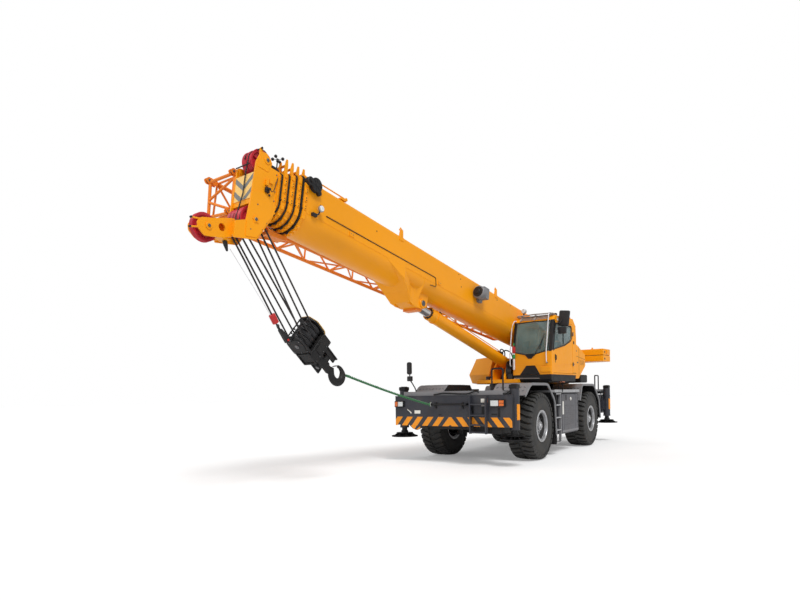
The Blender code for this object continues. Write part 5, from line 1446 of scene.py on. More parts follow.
def make_door():
    outline = smooth_outline([(-0.45, 2.10), (0.87, 2.10), (0.87, 2.66), (0.74, 3.42), (-0.45, 3.42)], 0.03)
    window = smooth_outline(WINDOW, 0.04)
    panel = [between(outline, window, CAB_OUT - 0.045, CAB_OUT - 0.004, "Y", 0.006)]
    grow = smooth_outline([(0.858, 2.685), (0.10, 2.825), (-0.32, 2.96), (-0.400, 3.035), (-0.410, 3.34),
                           (-0.37, 3.385), (0.718, 3.385)], 0.04)
    trim = [between(grow, window, CAB_OUT - 0.008, CAB_OUT + 0.004, "Y", 0.002)]
    seal = [sweep([(x, CAB_OUT - 0.004, z) for x, z in window], 0.007, 8, closed=True)]
    glass = [prism(window, CAB_OUT - 0.024, CAB_OUT - 0.018, "Y")]
    bar_line = [sweep([(0.18, CAB_OUT - 0.012, 2.86), (0.18, CAB_OUT - 0.012, 3.37)], 0.012, 6),
                prism([(0.868, 2.655), (0.868, 2.69), (0.742, 3.41), (0.70, 3.38), (0.835, 2.70),
                       (0.80, 2.69)], CAB_OUT - 0.030, CAB_OUT + 0.001, "Y", 0.002)]
    crease = [prism([(-0.44, 2.352), (0.20, 2.318), (0.86, 2.262), (0.86, 2.270), (0.20, 2.326),
                     (-0.44, 2.360)], CAB_OUT - 0.006, CAB_OUT + 0.002, "Y", 0.001),
              sweep([(x, CAB_OUT - 0.004, z) for x, z in ((0.82, 2.165), (-0.22, 2.175), (-0.36, 2.33))],
                    0.005, 6)]
    handle = [prism(smooth_outline([(0.735, 2.40), (0.765, 2.40), (0.785, 2.49), (0.765, 2.58),
                                    (0.735, 2.58), (0.715, 2.49)], 0.03), CAB_OUT - 0.006,
                    CAB_OUT + 0.004, "Y", 0.002),
              sweep(rounded([(0.75, CAB_OUT - 0.01, 2.43), (0.75, CAB_OUT + 0.028, 2.44),
                             (0.75, CAB_OUT + 0.028, 2.54), (0.75, CAB_OUT - 0.01, 2.55)], 0.015), 0.009,
                    8), drum(0.012, CAB_OUT - 0.005, CAB_OUT + 0.006, (0.75, 0, 2.375), "Y", 16, 0.002)]
    arm = [sweep(rounded([(0.70, CAB_OUT - 0.01, 3.36), (0.66, CAB_OUT + 0.10, 3.39),
                          (0.60, CAB_OUT + 0.12, 3.46)], 0.03), 0.010, 8),
           sweep(rounded([(0.78, CAB_OUT - 0.01, 3.10), (0.74, CAB_OUT + 0.09, 3.12),
                          (0.72, CAB_OUT + 0.09, 3.20)], 0.02), 0.008, 8)]
    mirrors = [turned(block((0.50, 1.490, 3.29), (0.60, 1.765, 3.69), 0.035), -7, "X",
                      (0.55, 1.63, 3.49)), block((0.60, 1.50, 3.09), (0.70, 1.72, 3.27), 0.03)]
    silver = [turned(block((0.496, 1.515, 3.32), (0.502, 1.74, 3.66), 0.002), -7, "X",
                     (0.55, 1.63, 3.49)), block((0.596, 1.52, 3.11), (0.602, 1.70, 3.25), 0.002)]
    grab = [sweep(rounded([(0.40, CAB_OUT - 0.05, 2.62), (0.40, CAB_OUT - 0.10, 2.62),
                           (-0.20, CAB_OUT - 0.10, 2.62), (-0.20, CAB_OUT - 0.05, 2.62)], 0.03), 0.012, 8)]
    piece("door_panel", "cab_door", SUPER, (ORANGE, panel, crease), (HOSE, trim, seal, bar_line, handle),
          (PLASTIC, arm, mirrors, grab), (MIRROR, silver), replaces=["cab_door"], slot="orange_paint")
    piece("door_glass", "cab_door", SUPER, (GLASS, glass))


def make_interior():
    """Seat, consoles, dashboard and wheel behind the glass."""
    frame_parts = [block((-0.20, 0.80, 2.09), (0.06, 1.06, 2.14), 0.01),
                   block((-0.14, 0.84, 2.14), (0.0, 1.02, 2.28), 0.02),
                   block((-0.26, 0.70, 2.27), (0.10, 1.16, 2.30), 0.01),
                   sweep([(-0.46, 0.93, 2.40), (-0.50, 0.93, 3.10)], 0.02, 8)]
    dash = [prism([(0.56, 2.09), (0.80, 2.09), (0.86, 2.56), (0.80, 2.66), (0.66, 2.70), (0.60, 2.60),
                   (0.66, 2.52)], 0.56, 1.28, "Y", 0.02),
            block((-0.25, 0.50, 2.09), (0.34, 0.64, 2.46), 0.03),
            block((-0.25, 1.20, 2.30), (0.30, 1.30, 2.44), 0.03),
            block((0.50, 0.46, 2.80), (0.53, 0.66, 2.98), 0.01),
            block((0.60, 0.50, 2.64), (0.66, 0.62, 2.80), 0.008)]
    wheel = []
    turn = [(0.42 + 0.17 * math.cos(t) * 0.55, 0.93 + 0.19 * math.sin(t),
             2.72 + 0.17 * math.cos(t) * 0.83) for t in (math.tau * k / 28 for k in range(28))]
    wheel.append(sweep(turn, 0.014, 8, closed=True))
    for k in (0, 9, 19):
        wheel.append(sweep([(0.42, 0.93, 2.72), turn[k]], 0.010, 6))
    wheel.append(sweep([(0.42, 0.93, 2.72), (0.60, 0.93, 2.58)], 0.026, 10))
    sticks = []
    for x, y in ((0.22, 0.54), (0.10, 0.60), (0.22, 1.25)):
        sticks.append(sweep([(x, y, 2.44), (x + 0.02, y, 2.58)], 0.008, 8))
        sticks.append(drum(0.022, 2.57, 2.66, (x + 0.02, y, 0), "Z", 16, 0.01))
    piece("cab_inside", "superstructure", SUPER, (PLASTIC, dash, wheel, sticks),
          (DARK_STEEL, frame_parts), replaces=["cab_seat"], slot="seat_fabric")
    for name, low, high, lean in (("seat_cushion", (-0.36, 0.69, 2.29), (0.15, 1.17, 2.42), 0),
                                  ("seat_back", (-0.50, 0.71, 2.42), (-0.38, 1.15, 2.98), -6),
                                  ("head_rest", (-0.52, 0.80, 3.02), (-0.43, 1.06, 3.20), -6)):
        shape = block(low, high)
        bmesh.ops.subdivide_edges(shape, edges=shape.edges[:], cuts=7, use_grid_fill=True)
        middle = [(a + b) / 2 for a, b in zip(low, high)]
        half = [(b - a) / 2 for a, b in zip(low, high)]
        for vert in shape.verts:
            share = [(c - m) / h for c, m, h in zip(vert.co, middle, half)]
            for axis in range(3):
                # A padded face falls away towards its edges and corners.
                one, two = (abs(share[n]) for n in range(3) if n != axis)
                edge_drop = 0.30 * one ** 4 * half[axis] / max(half)
                pull = 1 - edge_drop - 0.22 * one ** 2 * two ** 2 - 0.05 * two ** 4
                vert.co[axis] = middle[axis] + share[axis] * half[axis] * pull
        turned(shape, lean, "Y", middle)
        made = piece(name, "superstructure", SUPER, (SEAT_CLOTH, shape))


# Superstructure

def louvre(low, high, count, out=0.006):
    """Slats on a face that looks along Y: low and high are (x, z) corners, at a y."""
    (x0, z0, y), (x1, z1) = low, high
    slats = []
    for k in range(count):
        z = z0 + (z1 - z0) * (k + 0.5) / count
        side = 1 if y > 0 else -1
        slats.append(prism([(y - side * 0.012, z - 0.010), (y + side * out, z - 0.012),
                            (y - side * 0.004, z + 0.012)], x0, x1, "X"))
    return slats


def make_housings():
    left = [(-1.60, 2.34), (-1.59, 2.66), (-1.02, 2.89), (-0.80, 2.95), (-0.80, 1.97), (-1.05, 1.97)]
    skin = [prism(smooth_outline(left, 0.04), 0.502, 1.408, "Y", 0.012),
            block((-2.40, 0.503, 1.97), (-1.05, 0.858, 2.548), 0.012)]
    seams = [prism([(-1.56, 2.52), (-0.81, 2.60), (-0.81, 2.606), (-1.56, 2.526)], 1.404, 1.411, "Y"),
             block((-1.083, 1.404, 2.02), (-1.077, 1.411, 2.87), 0.001),
             *louvre((-1.50, 2.36, 1.405), (-1.15, 2.50), 4)]
    latch = [block((-1.00, 1.406, 2.40), (-0.93, 1.418, 2.44), 0.003),
             block((-0.90, 1.406, 2.72), (-0.86, 1.418, 2.76), 0.003)]
    piece("left_skin", "superstructure", SUPER, (ORANGE, skin), (HOSE, seams), (STEEL, latch),
          replaces=["left_housing"], slot="orange_paint")
    roof = 2.62
    skin = [block((-2.40, -1.348, 1.97), (-0.18, -0.502, roof), 0.014)]
    # y, then x and z of the front's top, middle and foot
    front = [(-1.348, (-0.16, roof), (0.27, 2.14), (0.10, 1.90), (-0.20, 1.87)),
             (-0.90, (0.20, roof), (0.44, 2.13), (0.28, 1.875), (-0.20, 1.865)),
             (-0.502, (0.36, roof), (0.62, 2.12), (0.44, 1.88), (-0.20, 1.865))]
    skin += [soft(loft([[(-0.20, y, roof), *((x, y, z) for x, z in corners)] for y, *corners in front]),
                  0.010, angle=20)]
    seams = [block((-1.203, -1.352, 1.99), (-1.197, -1.344, 2.60), 0.001),
             block((-0.203, -1.352, 1.99), (-0.197, -1.344, 2.60), 0.001),
             *louvre((-2.2, 2.15, -1.347), (-1.4, 2.45), 8)]
    latch = [block((-1.15, -1.362, 2.28), (-1.08, -1.346, 2.32), 0.003),
             block((-0.15, -1.362, 2.28), (-0.08, -1.346, 2.32), 0.003),
             sweep(rounded([(-0.9, -0.92, roof), (-0.9, -0.92, 2.66), (-0.7, -0.92, 2.66),
                            (-0.7, -0.92, roof)], 0.02), 0.010, 8)]
    piece("right_skin", "superstructure", SUPER, (ORANGE, skin), (HOSE, seams), (STEEL, latch),
          replaces=["right_housing"], slot="orange_paint")


def make_counterweight():
    slab = [block((-3.89, -1.41, 2.735), (-3.2005, 1.41, 2.93), 0.016),
            block((-3.89, -1.41, 2.54), (-3.2005, 1.41, 2.725), 0.016),
            block((-3.78, -0.42, 2.20), (-3.202, 0.42, 2.56), 0.012)]
    gap = [block((-3.87, -1.39, 2.72), (-3.21, 1.39, 2.74))]
    lugs = both(block((-3.60, 1.405, 2.78), (-3.48, 1.44, 2.90), 0.008),
                prism(smooth_outline([(-3.60, 2.93), (-3.56, 3.00), (-3.50, 3.00), (-3.46, 2.93)], 0.02),
                      0.95, 0.98, "Y", 0.003))
    heads = both(drum(0.026, 1.405, 1.432, (-3.32, 0, 2.83), "Y", 6, 0.004),
                 drum(0.026, 1.405, 1.432, (-3.32, 0, 2.62), "Y", 6, 0.004),
                 drum(0.034, 2.925, 2.955, (-3.35, 0.60, 0), "Z", 6, 0.004))
    lamps = both(block((-3.91, 1.20, 2.60), (-3.885, 1.34, 2.66), 0.004))
    piece("ballast", "superstructure", SUPER, (ORANGE, slab, lugs), (HOSE, gap), (STEEL, heads),
          (LENS_RED, lamps), replaces=["counterweight"], slot="orange_paint")


def make_turntable():
    ear = smooth_outline([(0.15, 1.95), (0.15, 2.30), (0.42, 2.52), (0.68, 2.52), (0.95, 2.25),
                          (1.12, 1.95)], 0.05)
    cheek = smooth_outline([(-0.80, 1.95), (-0.80, 2.30), (-1.25, 3.18), (-1.42, 3.27), (-1.80, 3.27),
                            (-2.05, 3.10), (-3.19, 2.92), (-3.19, 2.30), (-2.44, 1.95)], 0.04)
    bed_top = 1.955
    shapes = [block((-2.45, -0.60, 1.862), (1.15, 0.60, 1.96), 0.008)]
    # The black plate under the bed, the two black rings and the black skirt along the bed's left side are
    # painted shade, darkening the gap under the cab.
    dark = [block((-2.44, -0.592, 1.848), (1.14, 0.592, 1.862), 0.002),
            ring(0.72, 0.60, 1.742, 1.86, steps=72), ring(0.735, 0.70, 1.80, 1.84, steps=72),
            block((-0.72, 0.602, 1.875), (0.93, 0.64, bed_top), 0.004),
            block((-2.30, 0.52, 1.87), (-1.72, 1.22, 2.10), 0.03)]
    shapes += both(prism(ear, 0.162, 0.208, "Y", 0.004), prism(cheek, 0.432, 0.478, "Y", 0.004),
                   drum(0.10, 0.205, 0.248, BARREL_EYE, "Y", 36, 0.005))
    shapes += [block((0.20, -0.16, bed_top), (0.24, 0.16, 2.25), 0.003),
               block((-2.3, -0.43, 2.30), (-2.26, 0.43, 2.42), 0.003),
               block((-0.9, -0.43, bed_top), (-0.86, 0.43, 2.20), 0.003),
               *both(prism([(0.24, bed_top), (0.9, bed_top), (0.30, 2.12)], 0.34, 0.36, "Y", 0.002))]
    ears = both(drum(0.115, 0.476, 0.492, BOOM_PIN, "Y", 40, 0.004),
                prism(smooth_outline([(-1.75, 2.4), (-1.45, 2.4), (-1.48, 2.9), (-1.72, 2.9)], 0.04),
                      0.476, 0.488, "Y", 0.002))
    pins = both(drum(0.055, 0.24, 0.268, BARREL_EYE, "Y", 32, 0.005),
                drum(0.078, 0.488, 0.505, BOOM_PIN, "Y", 36, 0.004))
    heads = [*bolts(0.56, 30, 0.016, bed_top, 1.975),
             *both(*bolts(0.095, 8, 0.010, 0.490, 0.503, BOOM_PIN, "Y"))]
    hoses = []
    for n in range(6):
        y = -0.30 + 0.045 * n
        hoses.append(sweep(curved([(0.60, y, 1.97), (0.45, y * 0.9, 2.16), (0.10, y * 0.7, 2.22),
                                   (-0.35, y * 0.6, 2.10), (-0.80, y * 0.6, 2.02)]), 0.016, 8))
    for n in range(5):
        y = 0.22 + 0.03 * n
        hoses.append(sweep(curved([(0.98, y, 1.98), (1.02, y, 2.20),
                                   (0.86 - 0.05 * n, y * 0.8, 2.42 + 0.03 * n), (0.60, y * 0.75, 2.38),
                                   (0.35, y * 0.8, 2.15)]), 0.017, 8))
    for n in range(4):
        y = 0.24 + 0.05 * n
        hoses.append(sweep(curved([(0.95, y, 1.97), (0.86, y, 2.12), (0.66, y, 2.20),
                                   (0.30, y * 0.95, 2.16), (-0.10, y * 0.9, 1.98)]), 0.016, 8))
    valves = [block((-0.10, -0.34, 1.965), (0.12, -0.18, 2.12), 0.01),
              block((0.78, 0.27, 1.965), (1.05, 0.40, 2.10), 0.01),
              drum(0.14, 1.97, 2.30, (-0.2, 0, 0), "Z", 36, 0.01),
              drum(0.09, 1.96, 2.06, (0.85, -0.38, 0), "Z", 32, 0.01)]
    piece("turntable_frame", "superstructure", SUPER, (ORANGE, shapes, ears), (STEEL, pins, heads),
          (HOSE, hoses), (DARK_STEEL, valves), (FRAME_BLACK, dark), replaces=["turntable"],
          slot="orange_paint")


def make_winches():
    for name in ("main_winch", "auxiliary_winch"):
        place = upright(joint_at(name + "_turn"), (BOOM_ALONG.x, BOOM_ALONG.y, 0))
        flanges = [lathe([(0.08, 0.340), (0.255, 0.340), (0.260, 0.335), (0.260, 0.315), (0.255, 0.310),
                          (0.08, 0.310)], 56, "Y", ring=True),
                   lathe([(0.08, -0.310), (0.255, -0.310), (0.260, -0.315), (0.260, -0.335),
                          (0.255, -0.340), (0.08, -0.340)], 56, "Y", ring=True),
                   drum(0.185, -0.312, 0.312, axis="Y", steps=48),
                   drum(0.080, -0.424, 0.424, axis="Y", steps=32, edge=0.004)]
        spokes = both(*[turned(block((-0.012, 0.338, 0.10), (0.012, 0.344, 0.235), 0.002), 60 * k, "Y")
                        for k in range(6)])
        wound = [rope_winding(0.197, 0.011, -0.305, 0.305), rope_winding(0.217, 0.011, -0.295, 0.20)]
        heads = [*bolts(0.12, 10, 0.010, 0.338, 0.350, axis="Y"),
                 *bolts(0.12, 10, 0.010, -0.350, -0.338, axis="Y")]
        piece(name + "_drum", name, place, (FRAME_BLACK, flanges, spokes), (ROPE, wound), (STEEL, heads),
              replaces=[name], slot="black_paint")


# Carrier

FRONT_X, REAR_X = 1.986, -2.091
SIDE_Y = 1.4955
PANEL_X, REAR_FACE = 3.83, -4.3005
DECK_TOP = 1.66


def strip(line, thick, offset=0.0):
    """Outline of a bent sheet: a line of (x, z) from front to back and the same line further in."""
    outer, inner = [], []
    for i, (x, z) in enumerate(line):
        inwards = across_line(line, i)
        outer.append((x + inwards.x * offset, z + inwards.y * offset))
        inner.append((x + inwards.x * (offset + thick), z + inwards.y * (offset + thick)))
    return outer + inner[::-1]


def tread(back, front, y_low, y_high, pitch=0.088):
    """Raised dashes of tread plate on a sheet that runs between two (x, z) points."""
    (x0, z0), (x1, z1) = back, front
    length = math.hypot(x1 - x0, z1 - z0)
    lean = math.degrees(math.atan2(z1 - z0, x1 - x0))
    rows, columns = int(length / pitch), int((y_high - y_low) / pitch)
    dashes = []
    for i in range(rows):
        for j in range(columns):
            dash = block((-0.028, -0.009, -0.003), (0.028, 0.009, 0.006))
            turned(dash, 45 if (i + j) % 2 else -45, "Z")
            turned(dash, -lean, "Y")
            share = (i + 0.5) / rows
            y = y_low + (y_high - y_low) * (j + 0.5) / columns
            bmesh.ops.translate(dash, vec=(x0 + (x1 - x0) * share, y, z0 + (z1 - z0) * share),
                                verts=dash.verts)
            dashes.append(dash)
    return dashes


def deck_tread(back, front, y_low, y_high):
    return tread((back, DECK_TOP), (front, DECK_TOP), y_low, y_high, 0.11)


def fender(axle_x, corners, wall):
    """Mudguard on the left: sheet, black lining, bright lip along the outer edge and inner wall."""
    line = [(axle_x + p.x, p.z) for p in rounded([(x, 0, z) for x, z in corners], 0.13, 5)]
    sheet = prism(strip(line, 0.020), 0.652, 1.470, "Y")
    lip = prism(strip(line, 0.062, -0.003), 1.466, SIDE_Y, "Y", 0.006)
    lining = prism(strip(line, 0.008, 0.021), 0.655, 1.464, "Y")
    plate = prism([(axle_x + x, z) for x, z in wall], 0.621, 0.649, "Y", 0.004)
    humps = []
    for (x1, z1), (x0, z0) in zip(corners, corners[1:]):
        if min(z0, z1) > 1.36:
            trim = 0.10
            length = math.hypot(x1 - x0, z1 - z0)
            ax, az = (x1 - x0) / length * trim, (z1 - z0) / length * trim
            humps += tread((axle_x + x0 + ax, z0 + az), (axle_x + x1 - ax, z1 - az), 0.68, 1.44)
    return [sheet, lip], [lining, plate], humps


def hoop(first, second, top, radius=0.019):
    """Handrail of bent tube between two feet."""
    (x0, y0, z0), (x1, y1, z1) = first, second
    return sweep(rounded([(x0, y0, z0), (x0, y0, top), (x1, y1, top), (x1, y1, z1)], 0.05), radius, 12)


def make_decks():
    front = fender(FRONT_X, [(1.10, 1.55), (0.74, 1.83), (-0.39, 1.83), (-0.895, 1.41), (-1.010, 0.52)],
                   [(1.07, 1.61), (0.74, 1.828), (-0.39, 1.828), (-0.60, 1.61)])
    rear = fender(REAR_X, [(1.120, 1.37), (0.910, 1.83), (-0.30, 1.83), (-0.86, 1.38), (-1.010, 0.79)],
                  [(0.94, 1.61), (0.91, 1.828), (-0.30, 1.828), (-0.42, 1.61)])
    plates = [block((1.00, -0.65, 1.60), (3.785, 0.65, DECK_TOP), 0.004),
              block((3.02, -1.27, 1.602), (3.785, 1.27, 1.658), 0.004),
              block((3.775, -1.27, 1.566), (3.799, 1.27, 1.668), 0.004),
              *both(block((-0.99, 0.82, 1.601), (1.45, 1.468, 1.659), 0.004))]
    edges = both(block((-0.98, 1.466, 1.596), (1.08, 1.474, 1.668), 0.002))
    rails = [hoop((3.70, 0.98, 1.64), (3.70, 1.24, 1.64), 2.14)]
    feet = [drum(0.035, 1.655, 1.668, (3.70, y, 0), "Z", 20, 0.003) for y in (0.98, 1.24)]
    bar = [sweep(rounded([(3.825, -0.42, 1.59), (3.83, -0.18, 1.625), (3.83, 0.30, 1.60),
                          (3.83, 0.46, 1.60), (3.83, 0.66, 1.668), (3.83, 0.72, 1.63)], 0.05), 0.016, 8)]
    top = deck_tread(3.06, 3.76, -1.22, 1.22) + deck_tread(1.30, 3.02, -0.60, 0.60)
    top += both(*deck_tread(-0.92, 0.95, 0.86, 1.44))
    boxes = both(block((0.98, 0.66, 1.58), (1.30, 0.80, 1.72), 0.01))
    piece("front_deck_plate", "carrier", CARRIER, (DECK_GREY, plates, both(*front[0])),
          (TANK_GREY, both(*front[2]), top), (FRAME_BLACK, both(*front[1]), rails, feet, bar, boxes),
          (RIM_SILVER, edges), replaces=["front_deck"], slot="deck_paint")
    plates = [block((-4.30, -0.65, 1.60), (-1.16, 0.65, DECK_TOP), 0.004),
              block((-4.299, -1.27, 1.602), (-2.98, 1.27, 1.658), 0.004),
              block((-4.318, -1.27, 1.52), (-4.29, 1.27, 1.668), 0.004)]
    rails = [hoop((-3.40, 1.24, 1.64), (-3.80, 1.24, 1.64), 2.11)]
    top = deck_tread(-4.26, -3.74, -1.22, 1.22)
    piece("rear_deck_plate", "carrier", CARRIER, (DECK_GREY, plates, both(*rear[0])),
          (TANK_GREY, both(*rear[2]), top), (FRAME_BLACK, both(*rear[1]), rails), replaces=["rear_deck"],
          slot="deck_paint")


def cut_at(points, limit):
    """The part of a flat outline whose first coordinate stays below a limit."""
    kept = []
    for (a0, b0), (a1, b1) in zip(points, points[1:] + points[:1]):
        if a0 <= limit:
            kept.append((a0, b0))
        if (a0 <= limit) != (a1 <= limit):
            share = (limit - a0) / (a1 - a0)
            kept.append((limit, b0 + (b1 - b0) * share))
    return kept


def on_panel(low, high, edge=0.0):
    """A block whose corners are given from the front panel's face."""
    return block((PANEL_X + low[0], *low[1:]), (PANEL_X + high[0], *high[1:]), edge)


FRONT_STEP_Z = (0.735, 0.90, 1.11, 1.35)
FRONT_STILE_Y = (0.52, 0.90)
TIE_Y, TIE_Z = -0.452, 1.370


def make_front_panel():
    face = [prism([(-SIDE_Y, 0.885), (-1.11, 0.885), (-1.01, 0.80), (-0.90, 0.765), (-0.80, 0.80),
                   (-0.79, 0.869), (SIDE_Y, 0.869), (SIDE_Y, 1.57), (-SIDE_Y, 1.57)], PANEL_X - 0.028,
                  PANEL_X, "X", 0.004), on_panel((-0.06, -SIDE_Y, 1.552), (0.004, SIDE_Y, 1.572), 0.004),
            on_panel((-0.05, SIDE_Y - 0.02, 0.89), (0.001, SIDE_Y, 1.56), 0.003),
            on_panel((-0.06, -1.28, 0.90), (-0.028, 1.28, 1.50), 0.003)]
    top, low = 1.08, 0.872
    shift, wide, pitch = 0.165, 0.150, 0.282
    film = (PANEL_X - 0.001, PANEL_X + 0.0025)
    stripes = []
    for k in range(5):
        start = 0.155 + pitch * k
        shape = cut_at([(start, top), (start + wide, top), (start + wide + shift, low),
                        (start + shift, low)], SIDE_Y - 0.003)
        stripes += both(prism(shape, *film, "X"))
    stripes.append(prism([(-0.03, top), (0.03, top), (0.205, low), (0.05, low), (0.0, low + 0.035),
                          (-0.05, low), (-0.205, low)], *film, "X"))
    stripes += [prism([(-1.06, 0.872), (-0.90, 0.872), (-0.955, 0.790), (-1.00, 0.803)], *film, "X"),
                prism([(-0.80, 0.855), (-0.802, 0.808), (-0.895, 0.771), (-0.915, 0.776)], *film, "X")]
    tie = [sweep(rounded([(PANEL_X, -0.45, 1.37), (PANEL_X + 0.10, -0.45, 1.37),
                          (PANEL_X + 0.10, 0.44, 1.37), (PANEL_X, 0.44, 1.37)], 0.04), 0.024, 14)]
    lugs = [prism([(PANEL_X, 1.26), (PANEL_X + 0.09, 1.35), (PANEL_X + 0.09, 1.39), (PANEL_X, 1.42)],
                  y - 0.012, y + 0.012, "Y", 0.003) for y in (-0.35, 0.34)]
    slots = [on_panel((-0.01, y0, z0), (0.003, y1, z1), 0.002)
             for y0, z0, y1, z1 in ((0.545, 1.17, 0.595, 1.33), (0.79, 1.16, 0.87, 1.31),
                                    (1.02, 1.13, 1.15, 1.165), (1.165, 1.09, 1.225, 1.29),
                                    (-0.30, 1.12, -0.22, 1.14))]
    frames = [on_panel((-0.004, -1.49, 1.305), (0.050, -1.23, 1.455), 0.010),
              on_panel((-0.004, 1.00, 1.305), (0.050, 1.35, 1.475), 0.010)]
    clear = [on_panel((0.044, -1.385, 1.325), (0.060, -1.25, 1.435), 0.006),
             on_panel((0.044, 1.02, 1.33), (0.060, 1.20, 1.45), 0.006)]
    amber = [on_panel((0.044, -1.475, 1.325), (0.060, -1.40, 1.435), 0.006),
             on_panel((0.044, 1.215, 1.33), (0.060, 1.325, 1.385), 0.006),
             on_panel((0.044, 1.215, 1.395), (0.060, 1.325, 1.45), 0.006)]
    labels = [on_panel((-0.001, -0.95, 1.155), (0.003, -0.79, 1.23), 0.001),
              on_panel((-0.001, 0.77, 1.405), (0.003, 0.90, 1.49), 0.001),
              sweep([(PANEL_X + 0.012, -1.14, 1.25), (PANEL_X + 0.012, -1.04, 1.175)], 0.010, 8),
              drum(0.016, -1.055, -1.03, (PANEL_X + 0.012, 0, 1.172), "Y", 12, 0.003)]
    tags = [on_panel((-0.001, 0.90, 1.405), (0.003, 0.93, 1.49), 0.001)]
    grey_tag = [on_panel((-0.001, 0.78, 1.325), (0.003, 0.92, 1.355), 0.001)]
    head = drum(0.010, -0.004, 0.008, axis="X", steps=6, edge=0.002)
    heads = [shifted(head, (PANEL_X, -1.42 + 0.218 * k, 1.535)) for k in range(14)]
    mast = [sweep(rounded([(3.76, -0.93, 1.60), (3.79, -0.93, 1.72), (3.79, -1.02, 1.86),
                           (3.79, -1.09, 1.95), (3.79, -1.10, 2.14)], 0.06), 0.014, 10)]
    mirror = [prism(smooth_outline([(-1.155, 2.08), (-1.045, 2.08), (-1.045, 2.375), (-1.155, 2.375)],
                                   0.05, 5), 3.76, 3.83, "X", 0.012),
              block((3.75, -1.155, 1.92), (3.83, -1.03, 2.04), 0.018)]
    silver = [prism(smooth_outline([(-1.145, 2.09), (-1.055, 2.09), (-1.055, 2.365), (-1.145, 2.365)],
                                   0.045, 5), 3.756, 3.761, "X")]
    skirt = [block((3.30, 0.50, 0.72), (3.78, 1.24, 0.90), 0.012),
             block((3.40, -0.50, 0.80), (3.78, 0.50, 0.92), 0.012)]
    piece("front_face", "carrier", CARRIER, (CHARCOAL, face, heads), (STRIPE_ORANGE, stripes),
          (FRAME_BLACK, tie, lugs, slots, frames, mast, skirt), (LENS_WHITE, clear), (LENS_ORANGE, amber),
          (PLATE_WHITE, labels), (LABEL_ORANGE, tags), (ROOF_GREY, grey_tag), (PLASTIC, mirror),
          (MIRROR, silver), replaces=["front_panel"], slot="carrier_paint")
    stiles = [on_panel((0.0005, y, 0.72), (0.10, y + 0.03, 1.55), 0.006) for y in FRONT_STILE_Y]
    steps = [on_panel((0.012, 0.54, z), (0.092, 0.91, z + 0.026), 0.005) for z in FRONT_STEP_Z]
    teeth = [block((PANEL_X + 0.014 + 0.022 * n, 0.56, z + 0.024),
                   (PANEL_X + 0.022 + 0.022 * n, 0.89, z + 0.032)) for n in range(4) for z in FRONT_STEP_Z]
    piece("front_steps", "carrier", CARRIER, (CHARCOAL, stiles, steps, teeth), replaces=["front_ladder"],
          slot="carrier_paint")


SIDE_STEP_Z = (0.30, 0.62, 0.94, 1.26)
SIDE_STILE_X = (0.56, 0.934)


def make_side_ladder():
    stiles = [block((x, 1.395, 0.28), (x + 0.026, 1.458, 1.598), 0.005) for x in SIDE_STILE_X]
    edges = [block((x, 1.455, 0.30), (x + 0.026, 1.462, 1.59), 0.002) for x in SIDE_STILE_X]
    steps = [block((0.58, 1.385, z), (0.94, 1.455, z + 0.028), 0.005) for z in SIDE_STEP_Z]
    trims = [block((0.586, 1.452, z), (0.934, 1.463, z + 0.028), 0.002) for z in (*SIDE_STEP_Z, 1.545)]
    back = [block((0.565, 1.30, 0.285), (1.02, 1.345, 1.585), 0.003),
            block((0.965, 1.345, 0.285), (1.02, 1.44, 1.585), 0.003)]
    grab = [sweep(rounded([(0.50, 1.46, 1.60), (0.50, 1.485, 1.62), (0.50, 1.485, 1.86),
                           (0.50, 1.46, 1.88), (0.50, 1.40, 1.88), (0.50, 1.38, 1.70)], 0.03), 0.010, 8)]
    piece("side_steps", "carrier", CARRIER, (DECK_GREY, stiles[:1], steps),
          (RIM_SILVER, edges[:1], trims), (FRAME_BLACK, back, grab, stiles[1:], edges[1:]),
          replaces=["side_ladder"], slot="deck_paint")


def make_tanks():
    outline = [(0.461, 0.62), (0.711, 0.50), (1.41, 0.50), (1.45, 0.54), (1.45, 1.54), (1.41, 1.58),
               (0.821, 1.58), (0.461, 1.36)]
    for side, name in ((1, "fuel_tank"), (-1, "battery_box")):
        body = [prism(smooth_outline(outline, 0.035), -0.928, 0.448, "X", 0.010)]
        ribs = [prism([(-0.55, z), (0.20, z), (0.18, z + 0.022), (-0.53, z + 0.022)], 1.446, 1.458, "Y",
                      0.003) for z in (0.74 + 0.062 * n for n in range(9))]
        foot = [block((-0.92, 1.444, 0.545), (0.44, 1.453, 0.60), 0.002),
                block((-0.92, 1.30, 1.578), (0.44, 1.45, 1.594), 0.003)]
        dark = [prism(smooth_outline([(0.10, 1.38), (0.17, 1.38), (0.17, 1.53), (0.10, 1.53)], 0.03),
                      1.446, 1.456, "Y", 0.002), block((-0.905, 1.447, 0.62), (-0.899, 1.4525, 1.54)),
                block((0.30, 1.447, 0.62), (0.306, 1.4525, 1.54))]
        cap = [drum(0.045, 1.448, 1.475, (-0.22, 0, 1.42), "Y", 28, 0.008)]
        plate = [block((0.33, 1.449, 1.02), (0.43, 1.4545, 1.36), 0.001)]
        latches = [block((-0.88, 1.448, z), (-0.85, 1.462, z + 0.07), 0.004) for z in (0.75, 1.25)]
        bands = [block((-0.70, 1.4475, 0.60), (-0.66, 1.4535, 1.56), 0.002)]
        groups = [(TANK_GREY, body, ribs, bands), (DECK_GREY, foot), (HOSE, dark),
                  (PLATE_WHITE, cap, plate), (STEEL, latches)]
        if side < 0:
            groups = [(material, [mirrored(shape) for shape in flat(shapes)])
                      for material, *shapes in groups]
        piece(name + "_skin", "carrier", CARRIER, *groups, replaces=[name], slot="carrier_paint")


